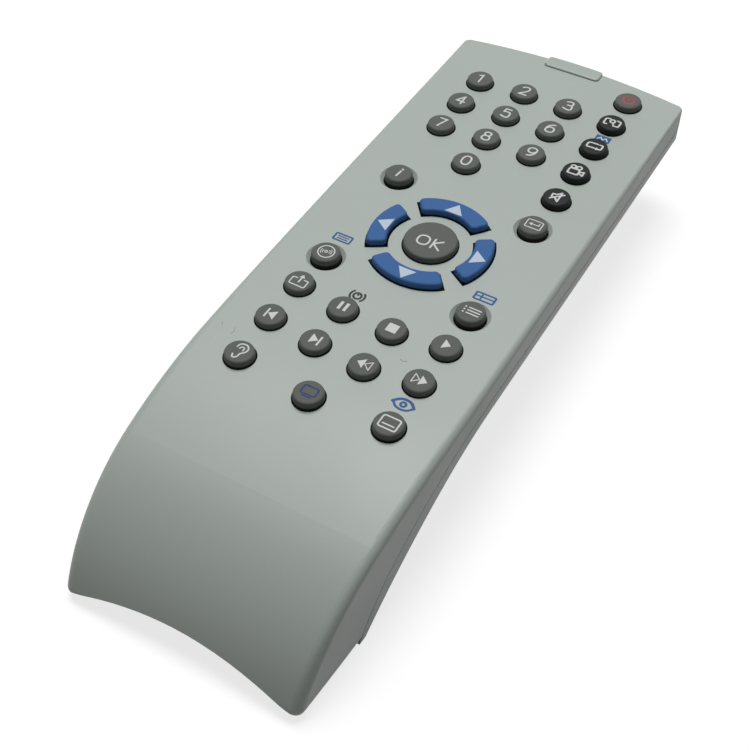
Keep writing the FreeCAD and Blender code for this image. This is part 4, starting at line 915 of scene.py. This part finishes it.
# %% The ten numbers
six = [line((0.42, 1.0), (-0.1, 0.85), (-0.62, 0.3), (-0.72, -1.0), (0.62, -1.05), (0.72, 0.16),
            (-0.2, 0.3), (-0.56, -0.2), softness=1.0)]
NUMBERS = {
    "1": [line((-0.42, 0.66), (0.14, 1.0), (0.14, -1.0))],
    "2": [line((-0.56, 0.72), (-0.4, 1.0), (0.6, 1.1), (0.66, 0.3), (0.2, -0.3), (-0.3, -0.7),
               softness=1.0),
          line((-0.3, -0.7), (-0.62, -1.0), (0.64, -1.0))],
    "3": [line((-0.52, 0.84), (-0.3, 1.0), (0.58, 1.12), (0.62, 0.1), (-0.16, 0.08), softness=1.0),
          line((-0.16, 0.08), (0.74, 0.1), (0.74, -1.12), (-0.2, -1.0), (-0.58, -0.82), softness=1.0)],
    "4": [line((0.30, -1.0), (0.30, 1.0), (-0.66, -0.42), (0.70, -0.42))],
    "5": [line((0.52, 1.0), (-0.40, 1.0), (-0.46, 0.14)),
          line((-0.46, 0.14), (-0.1, 0.3), (0.7, 0.3), (0.7, -1.1), (-0.2, -1.02), (-0.58, -0.82),
               softness=1.0)],
    "6": six,
    "7": [line((-0.58, 1.0), (0.56, 1.0), (-0.22, -1.0))],
    "8": [loop(1.02, 0.94, middle=(0, 0.52)), loop(1.26, 1.06, middle=(0, -0.48))],
    "9": turned_sign(six, 180.0),
    "0": [loop(1.34, 2.06)],
}
print("numbers", len(NUMBERS))

# %% [markdown]
# ## Pictograms
# The other signs are plain pictograms for what such keys do: play, stop, an ear for the sound, lines
# of text, a screen, a camera. They are made of the same few marks.

# %% The signs on the keys
LIST_ROWS = (0.75, 0.0, -0.75)
SIGNS = {
    "key_power": [ring(1.30, pen=0.56), disc(0.34)],
    "key_zoom": [line((-0.75, 1.02), (-1.75, 0.92), (-1.75, -1.0), (-1.0, -1.06), softness=0.5),
                 line((0.85, 1.02), (1.8, 0.92), (1.8, -1.0), (0.95, -1.06), softness=0.5),
                 ring(0.55, (-0.05, 0.35)), line((0.25, -0.15), (0.65, -1.15), width=0.36)],
    "key_repeat": [line((-0.75, -0.8), (-1.7, -0.8), (-1.7, 0.8), (0.5, 0.8), softness=0.6),
                   line((-0.5, -0.8), (1.7, -0.8), (1.7, 0.8), (0.95, 0.8), softness=0.6),
                   arrow_head((1.35, -0.8), 0.8, 0.5)],
    "key_angle": [loop(2.3, 1.7, 0.35, (-0.45, -0.55)), ring(0.5, (-1.05, 0.95)),
                  ring(0.55, (0.25, 0.98)),
                  line((0.85, -0.35), (1.75, 0.15), (1.75, -1.15), (0.85, -0.75), softness=0.1)],
    "key_mute": [line((-1.1, 0.5), (-1.1, -0.5), (-0.35, -0.5), (0.6, -1.5), (0.6, 1.5), (-0.35, 0.5),
                      (-1.1, 0.5), softness=0.08),
                 line((-1.2, -1.15), (1.25, 1.15))],
    "key_info": [line((0.10, 0.55), (-0.12, -1.2), width=0.42), disc(0.27, (0.16, 1.22))],
    "key_enter": [loop(3.4, 2.4, 0.22, pen=0.24),
                  line((1.05, 0.62), (1.05, -0.05), (-0.5, -0.05), width=0.24),
                  arrow_head((-1.15, -0.05), -0.75, 0.5)],
    "key_disc": [ring(1.72, pen=0.26), ring(0.3, pen=0.2)]
                + [ring(radius, pen=0.16, start=start, end=start + 64)
                   for radius in (0.75, 1.15) for start in (-17, 163)],
    "key_list": [line((-0.75, y), (1.75, y), width=0.3) for y in LIST_ROWS]
                + [disc(0.2, (-1.5, y)) for y in LIST_ROWS],
    "key_folder": [line((-0.8, 0.45), (-1.75, 0.45), (-1.75, -1.45), (1.75, -1.45), (1.75, 0.45),
                        (0.8, 0.45), softness=0.3, width=0.28),
                   line((0, -0.5), (0, 0.8), width=0.34)]
                  + turned_sign([arrow_head((1.75, 0), 0.9, 0.62)], 90.0),
    "key_pause": [bar(-0.64, 0.31, 1.1), bar(0.64, 0.31, 1.1)],
    "key_stop": [bar(0.0, 1.1, 1.1)],
    "key_play": [arrow_head((0.85, 0), 1.6, 1.22)],
    "key_previous": [bar(-0.9, 0.2, 1.22), arrow_head((-0.62, 0), -1.62, 1.22)],
    "key_next": [bar(0.9, 0.2, 1.22), arrow_head((0.62, 0), 1.62, 1.22)],
    "key_rewind": [arrow_head((-1.5, 0), -1.5, 1.22),
                   line((0.12, 0), (1.4, 1.08), (1.4, -1.08), softness=0.02, closed=True, width=0.2)],
    "key_forward": [arrow_head((1.5, 0), 1.5, 1.22),
                    line((-0.12, 0), (-1.4, 1.08), (-1.4, -1.08), softness=0.02, closed=True,
                         width=0.2)],
    "key_sound": [line((-1.05, 0.75), (-0.9, 1.75), (0.5, 2.05), (1.35, 1.1), (1.1, 0.1), (0.35, -0.5),
                       (0.35, -1.5), (-0.55, -2.0), (-0.85, -1.15), softness=1.0, width=0.32),
                  line((-0.4, 0.55), (-0.2, 1.15), (0.5, 1.1), (0.45, 0.3), softness=1.0, width=0.26)],
    "key_screen": [loop(3.0, 2.0, 0.3, (0, 0.25), pen=0.36), line((-0.9, -1.2), (0.9, -1.2), width=0.34)],
    "key_subtitle": [loop(3.6, 2.75, 0.3, pen=0.32), line((-1.15, -0.5), (1.15, -0.5), width=0.3)],
    "key_ok": [loop(2.55, 2.7, middle=(-1.5, 0.0)), line((0.72, 1.35), (0.72, -1.35)),
               line((2.45, 1.35), (0.78, 0.02), (2.6, -1.35))],
}
print("pictograms", len(SIGNS))

# %% [markdown]
# ## Printing
# Each key's sign is one piece that rides on the key's body, so that it goes down with the key. The signs
# sit where the photograph shows them, which is a few tenths of a millimetre off the keys' middles, as
# printing often is.

# %% Print the keys
# Millimetres: the usual pen, where the far keys begin, and how far each sign is off the key's middle.
PEN = 0.40
FAR_KEYS_FROM = 30.0
PRINT_SHIFT = {"far": (0.08, -0.06), "near": (0.14, 0.0), "key_ok": (0.30, -0.80)}
SIGN_INK = {"key_power": "red_ink", "key_screen": "deep_blue_ink"}
NUMBER_SCALE = 1.42


def printed(name, marks, middle, height, finish, body):
    """One piece of ink from marks in millimetres about a middle in metres."""
    shells = []
    for layer, (kind, path, closed, width) in enumerate(marks):
        placed = path * MM + middle
        if kind == "fill":
            shells.append(fill_shell(placed, height, layer))
        else:
            shells.append(stroke_shell(placed, (width or PEN) * MM, closed, height, layer))
    piece = mesh_piece(name, shells, finish, smooth=False)
    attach(piece, body)


for node in round_keys:
    label = node[len("key_"):]
    marks = scaled(NUMBERS[label], NUMBER_SCALE) if label in NUMBERS else SIGNS[node]
    centre, flat = KEY_CENTRE[node], KEY_FLAT[node]
    row = "far" if centre[1] > FAR_KEYS_FROM * MM else "near"
    shift = PRINT_SHIFT.get(node, PRINT_SHIFT[row])

    def crown(plan):
        """The height of this key's top at points seen from above."""
        return crown_height(np.linalg.norm(plan - centre, axis=-1), flat)

    printed(node + "_sign", marks, centre + np.array(shift) * MM, crown, SIGN_INK.get(node, "white_ink"),
            node + "_body")
print("signs", len(round_keys))

# %% [markdown]
# ## Signs on the casing
# A few keys have a second sign on the casing beside them, in blue or dark ink. They are printed the
# same way, on the flat top. One is a solid blue block, and a white zigzag is printed over it.

# %% Print the casing
def casing_top(plan):
    """The casing's top is flat where it is printed."""
    return np.full(plan.shape[:-1], TOP_Z)


def above_mark(plan):
    """The height of the blue mark's film."""
    return casing_top(plan) + 2 * INK


UPPER_LID = ((-2.2, -0.1), (-1.0, 1.25), (1.1, 1.25), (2.2, 0.0))
LOWER_LID = [(x, -y) for x, y in UPPER_LID]
MARK_MIDDLE = (16.54, 59.3)
CASING_SIGNS = {
    "text_sign": ((-16.65, 2.85), "blue_ink",
                  [loop(3.8, 1.95, 0.2, pen=0.44), line((-1.15, 0.32), (1.15, 0.32), width=0.32),
                   line((-1.15, -0.32), (1.15, -0.32), width=0.32)]),
    "guide_sign": ((16.55, 1.95), "blue_ink",
                   [loop(4.2, 1.95, 0.2, pen=0.44), line((-0.7, 0.9), (-0.7, -0.9), width=0.36),
                    line((-2.0, 0.05), (2.0, 0.05), width=0.36)]),
    "dial_sign": ((-5.45, -10.0), "dark_ink",
                  [ring(0.82, pen=0.46), disc(0.26, (0.0, 0.30)),
                   ring(1.55, pen=0.44, start=-42, end=42), ring(1.55, pen=0.44, start=138, end=222)]),
    "eye_sign": ((16.15, -29.75), "blue_ink",
                 [line(*UPPER_LID, softness=1.0, width=0.62), line(*LOWER_LID, softness=1.0, width=0.50),
                  ring(0.52, pen=0.5)]),
    "blue_mark": (MARK_MIDDLE, "blue_ink", [bar(0.0, 1.75, 1.1)]),
}
for name, (middle, finish, marks) in CASING_SIGNS.items():
    printed(name, marks, np.array(middle) * MM, casing_top, finish, "casing")

zigzag = line((-1.2, -0.35), (-0.6, 0.45), (0.0, -0.35), (0.6, 0.45), (1.2, -0.35), width=0.3)
printed("blue_mark_sign", [zigzag], np.array(MARK_MIDDLE) * MM, above_mark, "white_ink", "casing")
print("casing signs", len(CASING_SIGNS) + 1)

# %% [markdown]
# ## Scuffs
# Years of use leave a few short scuffs on the plastic. They are drawn like the signs, with a much
# thinner pen and in a colour somewhat darker than the casing.

# %% Draw the scuffs
SCUFFS = [line((-21.45, -29.1), (-21.1, -29.9), (-21.15, -30.8), softness=1.0, width=0.14),
          line((10.2, -20.35), (10.9, -20.65), (11.5, -20.15), softness=1.0, width=0.16),
          line((-24.4, -29.2), (-24.0, -29.8), softness=1.0, width=0.12)]
printed("scuffs", SCUFFS, np.zeros(2), casing_top, "scuff", "casing")
print("scuffs", len(SCUFFS))
